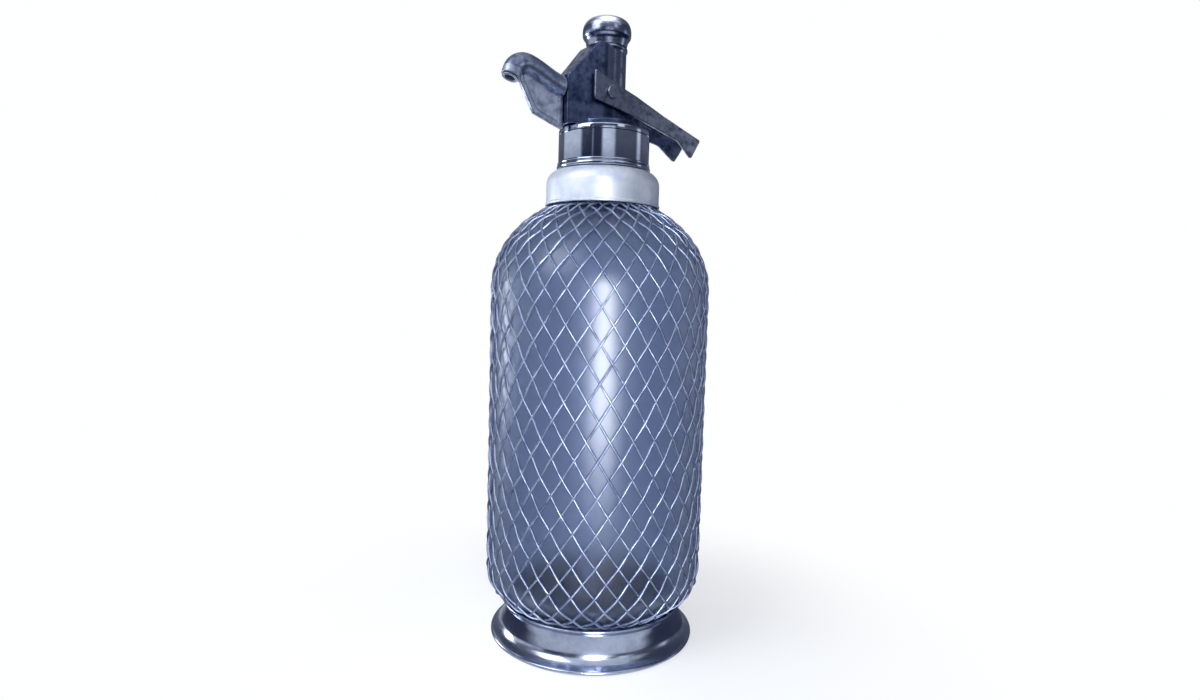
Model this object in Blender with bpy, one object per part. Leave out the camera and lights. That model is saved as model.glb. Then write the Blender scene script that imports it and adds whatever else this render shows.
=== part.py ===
"""Soda siphon: a glass bottle in a wire net on a flared foot, with a screwed-on head.

Metres, +Z up. The origin is on the bottle's axis, on the surface that the siphon stands on.
The spout points along -X and the thumb lever along +X.
"""
import math

import bmesh
import bpy
from mathutils import Matrix, Vector
from mathutils.geometry import interpolate_bezier

MM = 0.001

# clearances
SEAT_GAP = 0.3 * MM          # between a piece and what it rests on
RUN_GAP = 0.3 * MM           # radial gap of pins, stems and screwed pieces in their holes
NUT_GAP = 0.3 * MM           # radial gap of the union nut on the neck ring and on the spigot
LEVER_SIDE_GAP = 0.35 * MM   # between the lever's cheeks and the column
COLUMN_SWING_GAP = 0.6 * MM  # between the lever's web and the column
CUT_OVERRUN = 2.0 * MM       # how far a cutter runs past the face it cuts
WELD = 0.002 * MM            # points closer than this are one point

# foot and what lies in it
PAD_THICKNESS = 1.6 * MM
PAD_EDGE = 0.4 * MM
FOOT_HEIGHT = 18.4 * MM
FOOT_FLARE = 6.4 * MM
FOOT_RIM_WIDTH = 7.5 * MM
FOOT_RIM_LIFT = 0.5 * MM
FOOT_WALL = 1.1 * MM
FOOT_FLOOR = 1.2 * MM
FOOT_MOUTH_GAP = 0.35 * MM
FOOT_LIP_STAND = 1.2 * MM
FOOT_FLARE_SHARES = [(0.82, 0.0), (0.58, 0.0), (0.36, 0.12), (0.21, 0.42)]
FOOT_RIM_SHARE = (0.115, 0.85)
CUSHION_RADIUS = 30.0 * MM
CUSHION_HOLE_RADIUS = 14.0 * MM
CUSHION_THICKNESS = 8.1 * MM

# glass bottle
GLASS_RADIUS = 51.9 * MM
GLASS_WALL = 4.0 * MM
BASE_DEPTH = 24.5 * MM
BASE_POWER = 2.4
STRAIGHT_HEIGHT = 136.0 * MM
SHOULDER_RISE = 44.2 * MM
NECK_RADIUS = 16.1 * MM
NECK_BORE_RADIUS = 12.5 * MM
NECK_FILLET = 6.0 * MM
NECK_HEIGHT = 24.1 * MM
LIP_RADIUS = 18.5 * MM
LIP_HEIGHT = 6.4 * MM
LIP_ROUND = 1.2 * MM

# wire net
NET_STAND = 0.9 * MM
NET_WIRE = 1.0 * MM
NET_STRAND = 1.5 * MM
NET_COLUMNS = 20
NET_ROWS = 14
NET_SPLIT_ROWS = 2
NET_TOP_RADIUS = 24.4 * MM
NET_TUCK = 0.7 * MM
NET_END_CROWD_SHARE = 0.3
NET_KEY_STEPS = 100000

# neck ring, collar and union nut
NECK_RING_WALL = 1.5 * MM
NECK_RING_SPLIT = 0.4 * MM
NECK_RING_BASE_DROP = 16.0 * MM
COLLAR_WALL = 1.2 * MM
COLLAR_ROUND = 6.8 * MM
COLLAR_FLAT = 0.65 * MM
NUT_WALL = 1.6 * MM
NUT_HEIGHT = 19.0 * MM
NUT_TOP_WALL = 2.5 * MM
NUT_BEAD_STAND = 0.7 * MM
NUT_BEAD_HEIGHT = 3.3 * MM
NUT_EDGE = 0.8 * MM

# head seat
SEAL_THICKNESS = 1.7 * MM
SEAL_INSET = 0.4 * MM
FLANGE_THREAD_GAP = 1.0 * MM
FLANGE_THICKNESS = 3.3 * MM
SPIGOT_RADIUS = 16.8 * MM
SPIGOT_STEP = 1.8 * MM

# head casting
BASE_RISE = 3.3 * MM
BASE_EDGE = 0.5 * MM
DECK_RISE = 9.5 * MM
DECK_REACH = 15.0 * MM
DECK_END_SHARES = [(0.0, 1.0), (0.5, 0.92), (0.82, 0.66), (1.0, 0.26)]
BODY_INSET = 0.2 * MM
PROW_REACH = 24.5 * MM
PROW_HALF_WIDTH = 5.3 * MM
PROW_SHOULDER_RISE = 22.0 * MM
PROW_SIDE_SHARES = [(0.0, 1.0), (0.3, 0.93), (0.62, 0.5), (0.93, 0.06)]
COLUMN_RADIUS = 9.7 * MM
COLUMN_RISE = 39.3 * MM
CAP_SHOULDER = 1.3 * MM
CAP_SPIGOT_HEIGHT = 7.7 * MM
CAP_SPIGOT_EDGE = 0.7 * MM

# charging cap and the parts under it
CAP_RIM_WALL = 1.1 * MM
CAP_SWELL = 2.0 * MM
CAP_HEIGHT = 14.4 * MM
CAP_WAIST_SHARES = [(0.0, 0.0), (0.12, 0.1), (0.41, 0.24), (0.91, 0.34), (1.0, 0.44), (0.97, 0.58)]
CAP_DOME_SHARES = [(0.95, 0.72), (0.82, 0.85), (0.58, 0.945), (0.3, 0.99)]
CAP_WASHER_THICKNESS = 1.9 * MM
CAP_THREAD_GAP = 0.3 * MM
GAS_BORE_RADIUS = 3.3 * MM
GAS_BORE_DEPTH = 27.5 * MM
GAS_WAY_RADIUS = 1.1 * MM
GAS_WAY_X = 2.5 * MM
GAS_WAY_EXIT_Y = 8.9 * MM
PIERCER_SEAT_DEPTH = 14.0 * MM
PIERCER_SEAT_THICKNESS = 3.0 * MM
PIERCER_NEEDLE_RADIUS = 0.9 * MM
PIERCER_NEEDLE_LENGTH = 7.0 * MM
PIERCER_SHANK_RADIUS = 1.2 * MM
PIERCER_SHANK_LENGTH = 8.5 * MM
PIERCER_HOLE_RADIUS = 0.45 * MM
SLEEVE_WALL = 0.8 * MM
SLEEVE_LENGTH = 6.5 * MM

# lever
PIVOT_X = -4.0 * MM
PIVOT_RISE = 16.0 * MM
LEVER_THICKNESS = 1.4 * MM
LEVER_SLOPE = math.radians(17.0)
LEVER_TOP_RISE = 6.2 * MM
LEVER_FRONT_REACH = 9.8 * MM
LEVER_FRONT_DEPTH = 13.6 * MM
LEVER_KNEE_REACH = 19.0 * MM
LEVER_KNEE_DEPTH = 10.6 * MM
LEVER_WAIST_REACH = 44.7 * MM
LEVER_WAIST_DEPTH = 8.2 * MM
LEVER_TAIL_REACH = 61.6 * MM
LEVER_TAIL_DEPTH = 12.6 * MM
LEVER_TAIL_SLANT = 6.9 * MM
LEVER_TAIL_HALF_WIDTH = 6.6 * MM
LEVER_TAPER_START = 12.0 * MM   # from the column's axis, beyond the column
LEVER_EDGE_ROUND = 1.6 * MM
LEVER_EDGE_STEPS = 3
TONGUE_HALF_WIDTH = 1.3 * MM
TONGUE_THICKNESS = 1.6 * MM
TONGUE_STEP = 0.3 * MM
TONGUE_SLOT_HEADROOM = 1.2 * MM
PIN_RADIUS = 2.0 * MM
PIN_STAND = 2.2 * MM
PIN_HEAD_RADIUS = 3.1 * MM
PIN_HEAD_THICKNESS = 1.2 * MM
PIN_EDGE = 0.4 * MM
PIN_GROOVE_DEPTH = 0.4 * MM
CLIP_RADIUS = 3.4 * MM
CLIP_THICKNESS = 0.8 * MM

# valve
VALVE_X = 8.8 * MM
CHAMBER_RADIUS = 3.3 * MM
CHAMBER_RISE = 7.6 * MM
STEM_RADIUS = 1.15 * MM
SEAT_THICKNESS = 1.2 * MM
SEAT_BORE_RADIUS = 1.9 * MM
SEAT_DROP = 1.0 * MM
WASHER_THICKNESS = 0.8 * MM
DISC_THICKNESS = 0.8 * MM
DISC_RIM_GAP = 0.4 * MM
DISC_NOSE_RADIUS = 0.95 * MM
DISC_NOSE_HEIGHT = 1.0 * MM
PACKING_THICKNESS = 1.6 * MM
GLAND_THICKNESS = 1.0 * MM
PLUG_RISE = 1.3 * MM
PLUG_LENGTH = 9.0 * MM
PLUG_WALL = 0.6 * MM
SPRING_WIRE_RADIUS = 0.25 * MM
SPRING_TURNS = 5
SPRING_STEPS_PER_TURN = 8
STEM_SLOT_GAP = 0.4 * MM

# liquid way
TUBE_X = -3.0 * MM
TUBE_RADIUS = 3.0 * MM
TUBE_BORE_RADIUS = 2.0 * MM
TUBE_FOOT_CLEARANCE = 5.0 * MM
TUBE_TOP_RISE = 1.8 * MM
BUSH_WALL = 1.2 * MM
BUSH_LENGTH = 5.0 * MM
BUSH_DEPTH = 1.4 * MM
WELL_RISE = 4.2 * MM
LINK_RADIUS = 0.9 * MM
LINK_RISE = 3.0 * MM
GALLERY_RADIUS = 1.9 * MM
GALLERY_RISE = 2.5 * MM
RISER_X = -17.5 * MM

# spout
SPOUT_ROOT_RISE = 17.0 * MM
SPOUT_CREST_REACH = 18.8 * MM
SPOUT_CREST_RISE = 6.3 * MM
SPOUT_BEND_RADIUS = 6.6 * MM
SPOUT_END_LENGTH = 2.6 * MM
SPOUT_ROOT_RADIUS = 5.1 * MM
SPOUT_MOUTH_RADIUS = 4.4 * MM
SPOUT_BORE_RADIUS = 2.4 * MM
SPOUT_TENON_RADIUS = 3.6 * MM
SPOUT_TENON_LENGTH = 4.5 * MM
SPOUT_ROOT_HANDLE_SHARE = 0.3
SPOUT_CREST_HANDLE_SHARE = 0.32
CREST_SLOPE = math.radians(11.0)
MOUTH_LEAN = math.radians(19.0)
FIN_THICKNESS = 2.4 * MM
FIN_DEPTH = 19.6 * MM
FIN_CORNER_REACH = 15.3 * MM
FIN_CORNER_DEPTH = 14.6 * MM
TIP_WALL = 0.7 * MM
TIP_LENGTH = 5.0 * MM
TIP_STAND = 0.9 * MM

# facets
LARGE_SIDES = 36
MEDIUM_SIDES = 24
SMALL_SIDES = 12
BORE_SIDES = 10
FINE_BORE_SIDES = 8
ARC_STEPS = 4
EDGE_STEPS = 2
SHOULDER_STEPS = 7
SPOUT_SIDES = 14
SPOUT_ROOT_STEPS = 5
SPOUT_BEND_STEPS = 6
SMOOTH_ANGLE = math.radians(35.0)
FULL_TURN = 2 * math.pi
QUARTER_TURN = math.pi / 2

# levels that follow from the sizes above
FOOT_UNDERSIDE = PAD_THICKNESS + SEAT_GAP
FOOT_FLOOR_TOP = FOOT_UNDERSIDE + FOOT_FLOOR
GLASS_BOTTOM = FOOT_FLOOR_TOP + SEAT_GAP + CUSHION_THICKNESS
STRAIGHT_BOTTOM = GLASS_BOTTOM + BASE_DEPTH
STRAIGHT_TOP = STRAIGHT_BOTTOM + STRAIGHT_HEIGHT
LIP_TOP = STRAIGHT_TOP + SHOULDER_RISE + NECK_HEIGHT
LIP_BOTTOM = LIP_TOP - LIP_HEIGHT
SEAL_BOTTOM = LIP_TOP + SEAT_GAP
HEAD_BOTTOM = SEAL_BOTTOM + SEAL_THICKNESS + SEAT_GAP
FLANGE_TOP = HEAD_BOTTOM + FLANGE_THICKNESS
NUT_CEILING = FLANGE_TOP + SEAT_GAP
NUT_TOP = NUT_CEILING + NUT_TOP_WALL
NUT_BOTTOM = NUT_TOP - NUT_HEIGHT
COLLAR_TOP = NUT_BOTTOM - SEAT_GAP
BLOCK_BOTTOM = NUT_TOP + SEAT_GAP
DECK_TOP = BLOCK_BOTTOM + DECK_RISE
COLUMN_TOP = BLOCK_BOTTOM + COLUMN_RISE
CAP_SPIGOT_TOP = COLUMN_TOP + CAP_SPIGOT_HEIGHT
PIVOT_Z = BLOCK_BOTTOM + PIVOT_RISE
CHAMBER_TOP = BLOCK_BOTTOM + CHAMBER_RISE
PACKING_TOP = CHAMBER_TOP - SEAT_GAP
PACKING_BOTTOM = PACKING_TOP - PACKING_THICKNESS
GLAND_TOP = PACKING_BOTTOM - SEAT_GAP
SEAT_BOTTOM = BLOCK_BOTTOM - SEAT_DROP
WASHER_TOP = SEAT_BOTTOM - SEAT_GAP
DISC_TOP = WASHER_TOP - WASHER_THICKNESS
DISC_BOTTOM = DISC_TOP - DISC_THICKNESS
PLUG_TOP = HEAD_BOTTOM + PLUG_RISE
PLUG_BOTTOM = PLUG_TOP - PLUG_LENGTH
PLUG_FLOOR = PLUG_BOTTOM + PLUG_WALL
SPOUT_ROOT_Z = BLOCK_BOTTOM + SPOUT_ROOT_RISE
SPOUT_FACE_X = -PROW_REACH - SEAT_GAP

# radii and half widths that follow from the sizes above
NECK_RING_RADIUS = LIP_RADIUS + SEAT_GAP + NECK_RING_WALL
NUT_BORE_RADIUS = NECK_RING_RADIUS + NUT_GAP
NUT_RADIUS = NUT_BORE_RADIUS + NUT_WALL
COLLAR_HOLE_RADIUS = NECK_RING_RADIUS + SEAT_GAP
COLLAR_RADIUS = COLLAR_HOLE_RADIUS + COLLAR_FLAT + COLLAR_ROUND
FLANGE_RADIUS = NUT_BORE_RADIUS - FLANGE_THREAD_GAP
SPIGOT_FOOT_RADIUS = SPIGOT_RADIUS - SPIGOT_STEP
BODY_HALF_WIDTH = COLUMN_RADIUS - BODY_INSET
CAP_SPIGOT_RADIUS = COLUMN_RADIUS - CAP_SHOULDER
CAP_BORE_RADIUS = CAP_SPIGOT_RADIUS + CAP_THREAD_GAP
CAP_RIM_RADIUS = CAP_BORE_RADIUS + CAP_RIM_WALL
CAP_RADIUS = CAP_RIM_RADIUS + CAP_SWELL
CHEEK_INNER = COLUMN_RADIUS + LEVER_SIDE_GAP
CHEEK_OUTER = CHEEK_INNER + LEVER_THICKNESS
CHAMBER_FIT_RADIUS = CHAMBER_RADIUS - RUN_GAP
DISC_RADIUS = CHAMBER_FIT_RADIUS - DISC_RIM_GAP


def clear_scene():
    for old in list(bpy.data.objects):
        bpy.data.objects.remove(old, do_unlink=True)


def make_material(name, colour, roughness, metallic, alpha=1.0):
    material = bpy.data.materials.new(name)
    material.use_nodes = True
    shader = material.node_tree.nodes["Principled BSDF"]
    shader.inputs["Base Color"].default_value = (*colour, 1.0)
    shader.inputs["Roughness"].default_value = roughness
    shader.inputs["Metallic"].default_value = metallic
    shader.inputs["Alpha"].default_value = alpha
    return material


def new_object(name, bm, finish, smooth=True):
    """Object from a bmesh in world coordinates, closed and facing out, with its own material."""
    bm.normal_update()
    bmesh.ops.recalc_face_normals(bm, faces=bm.faces)
    mesh = bpy.data.meshes.new(name)
    bm.to_mesh(mesh)
    bm.free()
    obj = bpy.data.objects.new(name, mesh)
    bpy.context.collection.objects.link(obj)
    if finish:
        mesh.materials.append(make_material(name, *FINISHES[finish]))
    if smooth:
        mesh.shade_smooth()
        mesh.set_sharp_from_angle(angle=SMOOTH_ANGLE)
    return obj


def set_origin(obj, point):
    """Moves the object's origin to a world point and leaves its shape where it is."""
    offset = Vector(point)
    obj.data.transform(Matrix.Translation(-offset))
    obj.location = offset


def boolean(target, tool, operation):
    """Joins, cuts or trims the target with the tool, then removes the tool."""
    modifier = target.modifiers.new("shape", "BOOLEAN")
    modifier.operation = operation
    modifier.object = tool
    modifier.solver = "EXACT"
    bpy.context.view_layer.update()
    depsgraph = bpy.context.evaluated_depsgraph_get()
    mesh = bpy.data.meshes.new_from_object(target.evaluated_get(depsgraph))
    target.modifiers.remove(modifier)
    target.data = mesh
    bpy.data.objects.remove(tool, do_unlink=True)


def smooth_again(obj):
    """Turns a joined or cut shape's faces smooth, merges points that fell together."""
    bm = bmesh.new()
    bm.from_mesh(obj.data)
    bmesh.ops.remove_doubles(bm, verts=bm.verts, dist=WELD)
    bmesh.ops.dissolve_degenerate(bm, edges=bm.edges, dist=WELD)
    bmesh.ops.recalc_face_normals(bm, faces=bm.faces)
    bm.to_mesh(obj.data)
    bm.free()
    obj.data.shade_smooth()
    obj.data.set_sharp_from_angle(angle=SMOOTH_ANGLE)


def turned(name, profile, sides, finish=None, centre=(0.0, 0.0)):
    """A closed profile of (radius, height), or one with both ends on the axis, turned round Z."""
    on_axis = profile[0][0] == 0.0 and profile[-1][0] == 0.0
    bm = bmesh.new()
    points = [bm.verts.new((radius, 0.0, height)) for radius, height in profile]
    edges = [bm.edges.new(pair) for pair in zip(points, points[1:])]
    if not on_axis:
        edges.append(bm.edges.new((points[-1], points[0])))
    bmesh.ops.spin(bm, geom=points + edges, cent=(0, 0, 0), axis=(0, 0, 1), angle=FULL_TURN,
                   steps=sides, use_merge=True)
    bmesh.ops.remove_doubles(bm, verts=bm.verts, dist=WELD)
    bmesh.ops.translate(bm, verts=bm.verts, vec=(*centre, 0.0))
    return new_object(name, bm, finish)


def prism(name, outline, half_width, finish=None, smooth=False):
    """An outline in X and Z, extruded to both sides along Y."""
    bm = bmesh.new()
    face = bm.faces.new([bm.verts.new((x, -half_width, z)) for x, z in outline])
    swept = bmesh.ops.extrude_face_region(bm, geom=[face])["geom"]
    moved = [item for item in swept if isinstance(item, bmesh.types.BMVert)]
    bmesh.ops.translate(bm, verts=moved, vec=(0, 2 * half_width, 0))
    return new_object(name, bm, finish, smooth)


def slab(name, outline, bottom, top, finish=None):
    """An outline in X and Y, extruded from one height to another."""
    bm = bmesh.new()
    face = bm.faces.new([bm.verts.new((x, y, bottom)) for x, y in outline])
    swept = bmesh.ops.extrude_face_region(bm, geom=[face])["geom"]
    moved = [item for item in swept if isinstance(item, bmesh.types.BMVert)]
    bmesh.ops.translate(bm, verts=moved, vec=(0, 0, top - bottom))
    return new_object(name, bm, finish, smooth=False)


def rod(name, start, end, radius, sides=SMALL_SIDES, finish=None):
    """A plain round bar between two points."""
    start, end = Vector(start), Vector(end)
    bm = bmesh.new()
    length = (end - start).length
    bmesh.ops.create_cone(bm, cap_ends=True, segments=sides, radius1=radius, radius2=radius,
                          depth=length)
    turn = (end - start).to_track_quat("Z", "Y").to_matrix().to_4x4()
    bm.transform(Matrix.Translation((start + end) / 2) @ turn)
    return new_object(name, bm, finish)


def arc(centre, radius_x, radius_z, start, end, steps):
    """Points on an ellipse's arc, as (radius, height), both ends included."""
    angles = [start + (end - start) * step / steps for step in range(steps + 1)]
    return [(centre[0] + radius_x * math.cos(a), centre[1] + radius_z * math.sin(a)) for a in angles]


def base_curve(stand, steps):
    """The bottle's rounded base from its wall to its axis, as far outside the glass as stand."""
    radius = GLASS_RADIUS + stand
    depth = BASE_DEPTH + stand
    points = []
    for step in range(steps + 1):
        a = QUARTER_TURN * step / steps
        across = max(math.cos(a), 0.0) ** (2 / BASE_POWER)
        down = math.sin(a) ** (2 / BASE_POWER)
        points.append((radius * across if step < steps else 0.0, STRAIGHT_BOTTOM - depth * down))
    return points


def base_radius(stand, height):
    """Radius of the rounded base at a height, as far outside the glass as stand."""
    down = max(STRAIGHT_BOTTOM - height, 0.0) / (BASE_DEPTH + stand)
    return (GLASS_RADIUS + stand) * (1.0 - down ** BASE_POWER) ** (1 / BASE_POWER)


def net_foot_radius():
    """Radius of the net's lower hem, tucked a little way into the foot's mouth."""
    return base_radius(NET_STAND, FOOT_HEIGHT - NET_TUCK)


def shoulder_curve(stand, stop_radius, steps):
    """The bottle's shoulder from its wall up to a radius, as far outside the glass as stand."""
    radius = GLASS_RADIUS + stand
    rise = SHOULDER_RISE + stand
    return arc((0.0, STRAIGHT_TOP), radius, rise, 0.0, math.acos(stop_radius / radius), steps)


def shoulder_height(stand, radius):
    """Height of the shoulder at a radius, as far outside the glass as stand."""
    return STRAIGHT_TOP + (SHOULDER_RISE + stand) * math.sqrt(1.0 - (radius / (GLASS_RADIUS + stand)) ** 2)


def neck_fillet(radius, size, start_height):
    """Hollow curve from the shoulder into the neck."""
    return arc((radius + size, start_height + size), size, size, -QUARTER_TURN, -2 * QUARTER_TURN, ARC_STEPS)


def glass_outline():
    outer_shoulder = shoulder_curve(0.0, NECK_RADIUS + NECK_FILLET, SHOULDER_STEPS)
    outer_neck = neck_fillet(NECK_RADIUS, NECK_FILLET, outer_shoulder[-1][1])
    inner_fillet = NECK_RADIUS + NECK_FILLET - NECK_BORE_RADIUS
    inner_shoulder = shoulder_curve(-GLASS_WALL, NECK_RADIUS + NECK_FILLET, SHOULDER_STEPS)
    inner_neck = neck_fillet(NECK_BORE_RADIUS, inner_fillet, inner_shoulder[-1][1])
    lip = [(NECK_RADIUS, LIP_BOTTOM - LIP_ROUND), (LIP_RADIUS, LIP_BOTTOM)]
    lip_centre = (LIP_RADIUS - LIP_ROUND, LIP_TOP - LIP_ROUND)
    lip += arc(lip_centre, LIP_ROUND, LIP_ROUND, 0.0, QUARTER_TURN, EDGE_STEPS)
    lip += [(NECK_BORE_RADIUS, LIP_TOP)]
    outside = base_curve(0.0, SHOULDER_STEPS)[::-1] + outer_shoulder + outer_neck[1:] + lip
    inside = base_curve(-GLASS_WALL, SHOULDER_STEPS)[::-1] + inner_shoulder + inner_neck[1:]
    return outside + inside[::-1]


def foot_radii():
    """Radii of the foot's mouth, waist, rim and the well for its pad."""
    mouth = base_radius(NET_STAND + NET_WIRE, FOOT_HEIGHT) + FOOT_MOUTH_GAP
    waist = mouth + FOOT_WALL - FOOT_LIP_STAND
    rim = waist + FOOT_FLARE
    return mouth, waist, rim, rim - FOOT_RIM_WIDTH


def foot_outline():
    """The foot's outline from the axis under its floor, round the rim and the lip, back to the axis."""
    mouth, waist, rim, well = foot_radii()
    rim_up, rim_across = FOOT_RIM_SHARE
    rim_round = (FOOT_HEIGHT * rim_up - FOOT_RIM_LIFT) / 2
    lip_bottom = FOOT_HEIGHT - FOOT_WALL / 2
    flare = [(waist + FOOT_FLARE * across, FOOT_HEIGHT * up) for up, across in FOOT_FLARE_SHARES]
    walls = [(radius - FOOT_WALL, height) for radius, height in flare]
    outside = [(0.0, FOOT_UNDERSIDE), (well, FOOT_UNDERSIDE), (well, FOOT_RIM_LIFT)]
    rim_centre = (rim - rim_round, FOOT_RIM_LIFT + rim_round)
    outside += arc(rim_centre, rim_round, rim_round, -QUARTER_TURN, 0.0, EDGE_STEPS)
    outside += [(waist + FOOT_FLARE * rim_across, FOOT_HEIGHT * rim_up)] + flare[::-1]
    outside += [(mouth + FOOT_WALL, lip_bottom), (mouth + FOOT_WALL / 2, FOOT_HEIGHT)]
    inside = [(mouth, lip_bottom)] + walls + [(walls[-1][0], FOOT_FLOOR_TOP)]
    return outside + inside + [(0.0, FOOT_FLOOR_TOP)]


def cushion_outline():
    bottom = FOOT_FLOOR_TOP + SEAT_GAP
    curve = base_curve(SEAT_GAP, 2 * SHOULDER_STEPS)
    top = [point for point in curve if CUSHION_HOLE_RADIUS < point[0] < CUSHION_RADIUS]
    outline = [(CUSHION_HOLE_RADIUS, bottom), (CUSHION_RADIUS, bottom), (CUSHION_RADIUS, top[0][1])] + top[1:]
    return outline + [(CUSHION_HOLE_RADIUS, GLASS_BOTTOM - SEAT_GAP)]


def make_foot():
    pad_radius = foot_radii()[-1] - SEAT_GAP
    turned("foot_pad", [(0.0, 0.0), (pad_radius - PAD_EDGE, 0.0), (pad_radius, PAD_EDGE),
                        (pad_radius, PAD_THICKNESS), (0.0, PAD_THICKNESS)], LARGE_SIDES, "felt")
    turned("foot", foot_outline(), LARGE_SIDES, "foot metal")
    turned("foot_cushion", cushion_outline(), MEDIUM_SIDES, "rubber")


def make_glass():
    turned("glass_bottle", glass_outline(), LARGE_SIDES, "glass")


def net_route(stand):
    """The net's own profile from inside the foot to under the collar, with the distance along it."""
    fine = 6 * SHOULDER_STEPS
    base = [point for point in base_curve(stand, fine) if point[0] >= net_foot_radius()][::-1]
    shoulder = shoulder_curve(stand, NET_TOP_RADIUS, fine)
    route = base + shoulder
    lengths = [0.0]
    for before, after in zip(route, route[1:]):
        lengths.append(lengths[-1] + math.dist(before, after))
    return route, lengths


def along(route, lengths, share):
    """The point at a share of the route's length."""
    target = lengths[-1] * min(max(share, 0.0), 1.0)
    for index in range(1, len(route)):
        if lengths[index] >= target:
            part = (target - lengths[index - 1]) / (lengths[index] - lengths[index - 1])
            before, after = route[index - 1], route[index]
            return [b + (a - b) * part for b, a in zip(before, after)]
    return list(route[-1])


def make_net():
    """Diamond net: crossings on every row, a hole of four corners in each mesh, a plain hem at both ends."""
    layers = [net_route(NET_STAND), net_route(NET_STAND + NET_WIRE)]
    column_angle = FULL_TURN / NET_COLUMNS
    length = layers[0][1][-1]
    hem_share = NET_STRAND / 2 / length

    def level(row):
        """Share of the length at a row: the meshes crowd together towards both ends."""
        even = row / NET_ROWS
        crowded = (1.0 - math.cos(math.pi * even)) / 2
        return even + (crowded - even) * NET_END_CROWD_SHARE

    shrink = []
    for row in range(NET_ROWS + 1):
        half_wide = along(*layers[0], level(row))[0] * column_angle / 2
        half_tall = length * (level(min(row + 1, NET_ROWS)) - level(max(row - 1, 0))) / 2
        if row in (0, NET_ROWS):
            half_tall *= 2
        shrink.append(1.0 - NET_STRAND / 2 * math.hypot(half_wide, half_tall) / (half_wide * half_tall))
    bm = bmesh.new()
    cache = {}

    def vertex(layer, turn, share):
        """A point at a number of columns round and a share of the height."""
        around = round(turn * NET_KEY_STEPS) % (NET_COLUMNS * NET_KEY_STEPS)
        key = (layer, around, round(share * NET_KEY_STEPS))
        if key not in cache:
            radius, height = along(*layers[layer], share)
            angle = turn * column_angle
            cache[key] = bm.verts.new((radius * math.cos(angle), radius * math.sin(angle), height))
        return cache[key]

    def hole(row, turn):
        """Corner places of the hole centred on a row: right, top, left and bottom."""
        size = shrink[row]
        middle = level(row)
        up = middle + size * (level(row + 1) - middle)
        down = middle - size * (middle - level(row - 1))
        side = hem_share if row == 0 else (-hem_share if row == NET_ROWS else 0.0)
        return {"right": (turn + size / 2, middle + side), "top": (turn, up),
                "left": (turn - size / 2, middle + side), "bottom": (turn, down)}

    def face(corners):
        bm.faces.new([vertex(1, *corner) for corner in corners])
        bm.faces.new([vertex(0, *corner) for corner in reversed(corners)])

    def halfway(one, other):
        return ((one[0] + other[0]) / 2, (one[1] + other[1]) / 2)

    def strand(row, low_hole, low_corners, high_hole, high_corners):
        """A wire between the holes on either side of it, bent halfway where the base is tight."""
        a, b = low_hole[low_corners[0]], low_hole[low_corners[1]]
        c, d = high_hole[high_corners[0]], high_hole[high_corners[1]]
        if row >= NET_SPLIT_ROWS:
            face([a, b, d, c])
            return
        middle_low = halfway(a, b)
        if row == NET_SPLIT_ROWS - 1:
            face([a, middle_low, b, d, c])
            return
        middle_high = halfway(c, d)
        face([a, middle_low, middle_high, c])
        face([middle_low, b, d, middle_high])

    for row in range(NET_ROWS + 1):
        shift = 0.5 * (row % 2)
        for column in range(NET_COLUMNS):
            turn = column + shift
            right, left = hole(row, turn + 0.5), hole(row, turn - 0.5)
            crossing = [right["left"]]
            if row < NET_ROWS:
                above = hole(row + 1, turn)
                crossing.append(above["bottom"])
            else:
                crossing += [(right["left"][0], 1.0), (left["right"][0], 1.0)]
                face([right["left"], right["right"], (right["right"][0], 1.0), (right["left"][0], 1.0)])
            crossing.append(left["right"])
            if row > 0:
                crossing.append(hole(row - 1, turn)["top"])
            else:
                crossing += [(left["right"][0], 0.0), (right["left"][0], 0.0)]
                face([right["left"], (right["left"][0], 0.0), (right["right"][0], 0.0), right["right"]])
            face(crossing)
            if row < NET_ROWS:
                strand(row, right, ("left", "top"), above, ("bottom", "right"))
                strand(row, left, ("right", "top"), above, ("bottom", "left"))

    rims = [edge for edge in bm.edges if edge.is_boundary]
    keys = {vert: key for key, vert in cache.items()}
    for edge in rims:
        one, other = (keys[vert] for vert in edge.verts)
        if one[0] == 1:
            bm.faces.new([cache[one], cache[other], cache[(0,) + other[1:]], cache[(0,) + one[1:]]])
    return new_object("wire_net", bm, "net wire", smooth=False)


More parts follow.
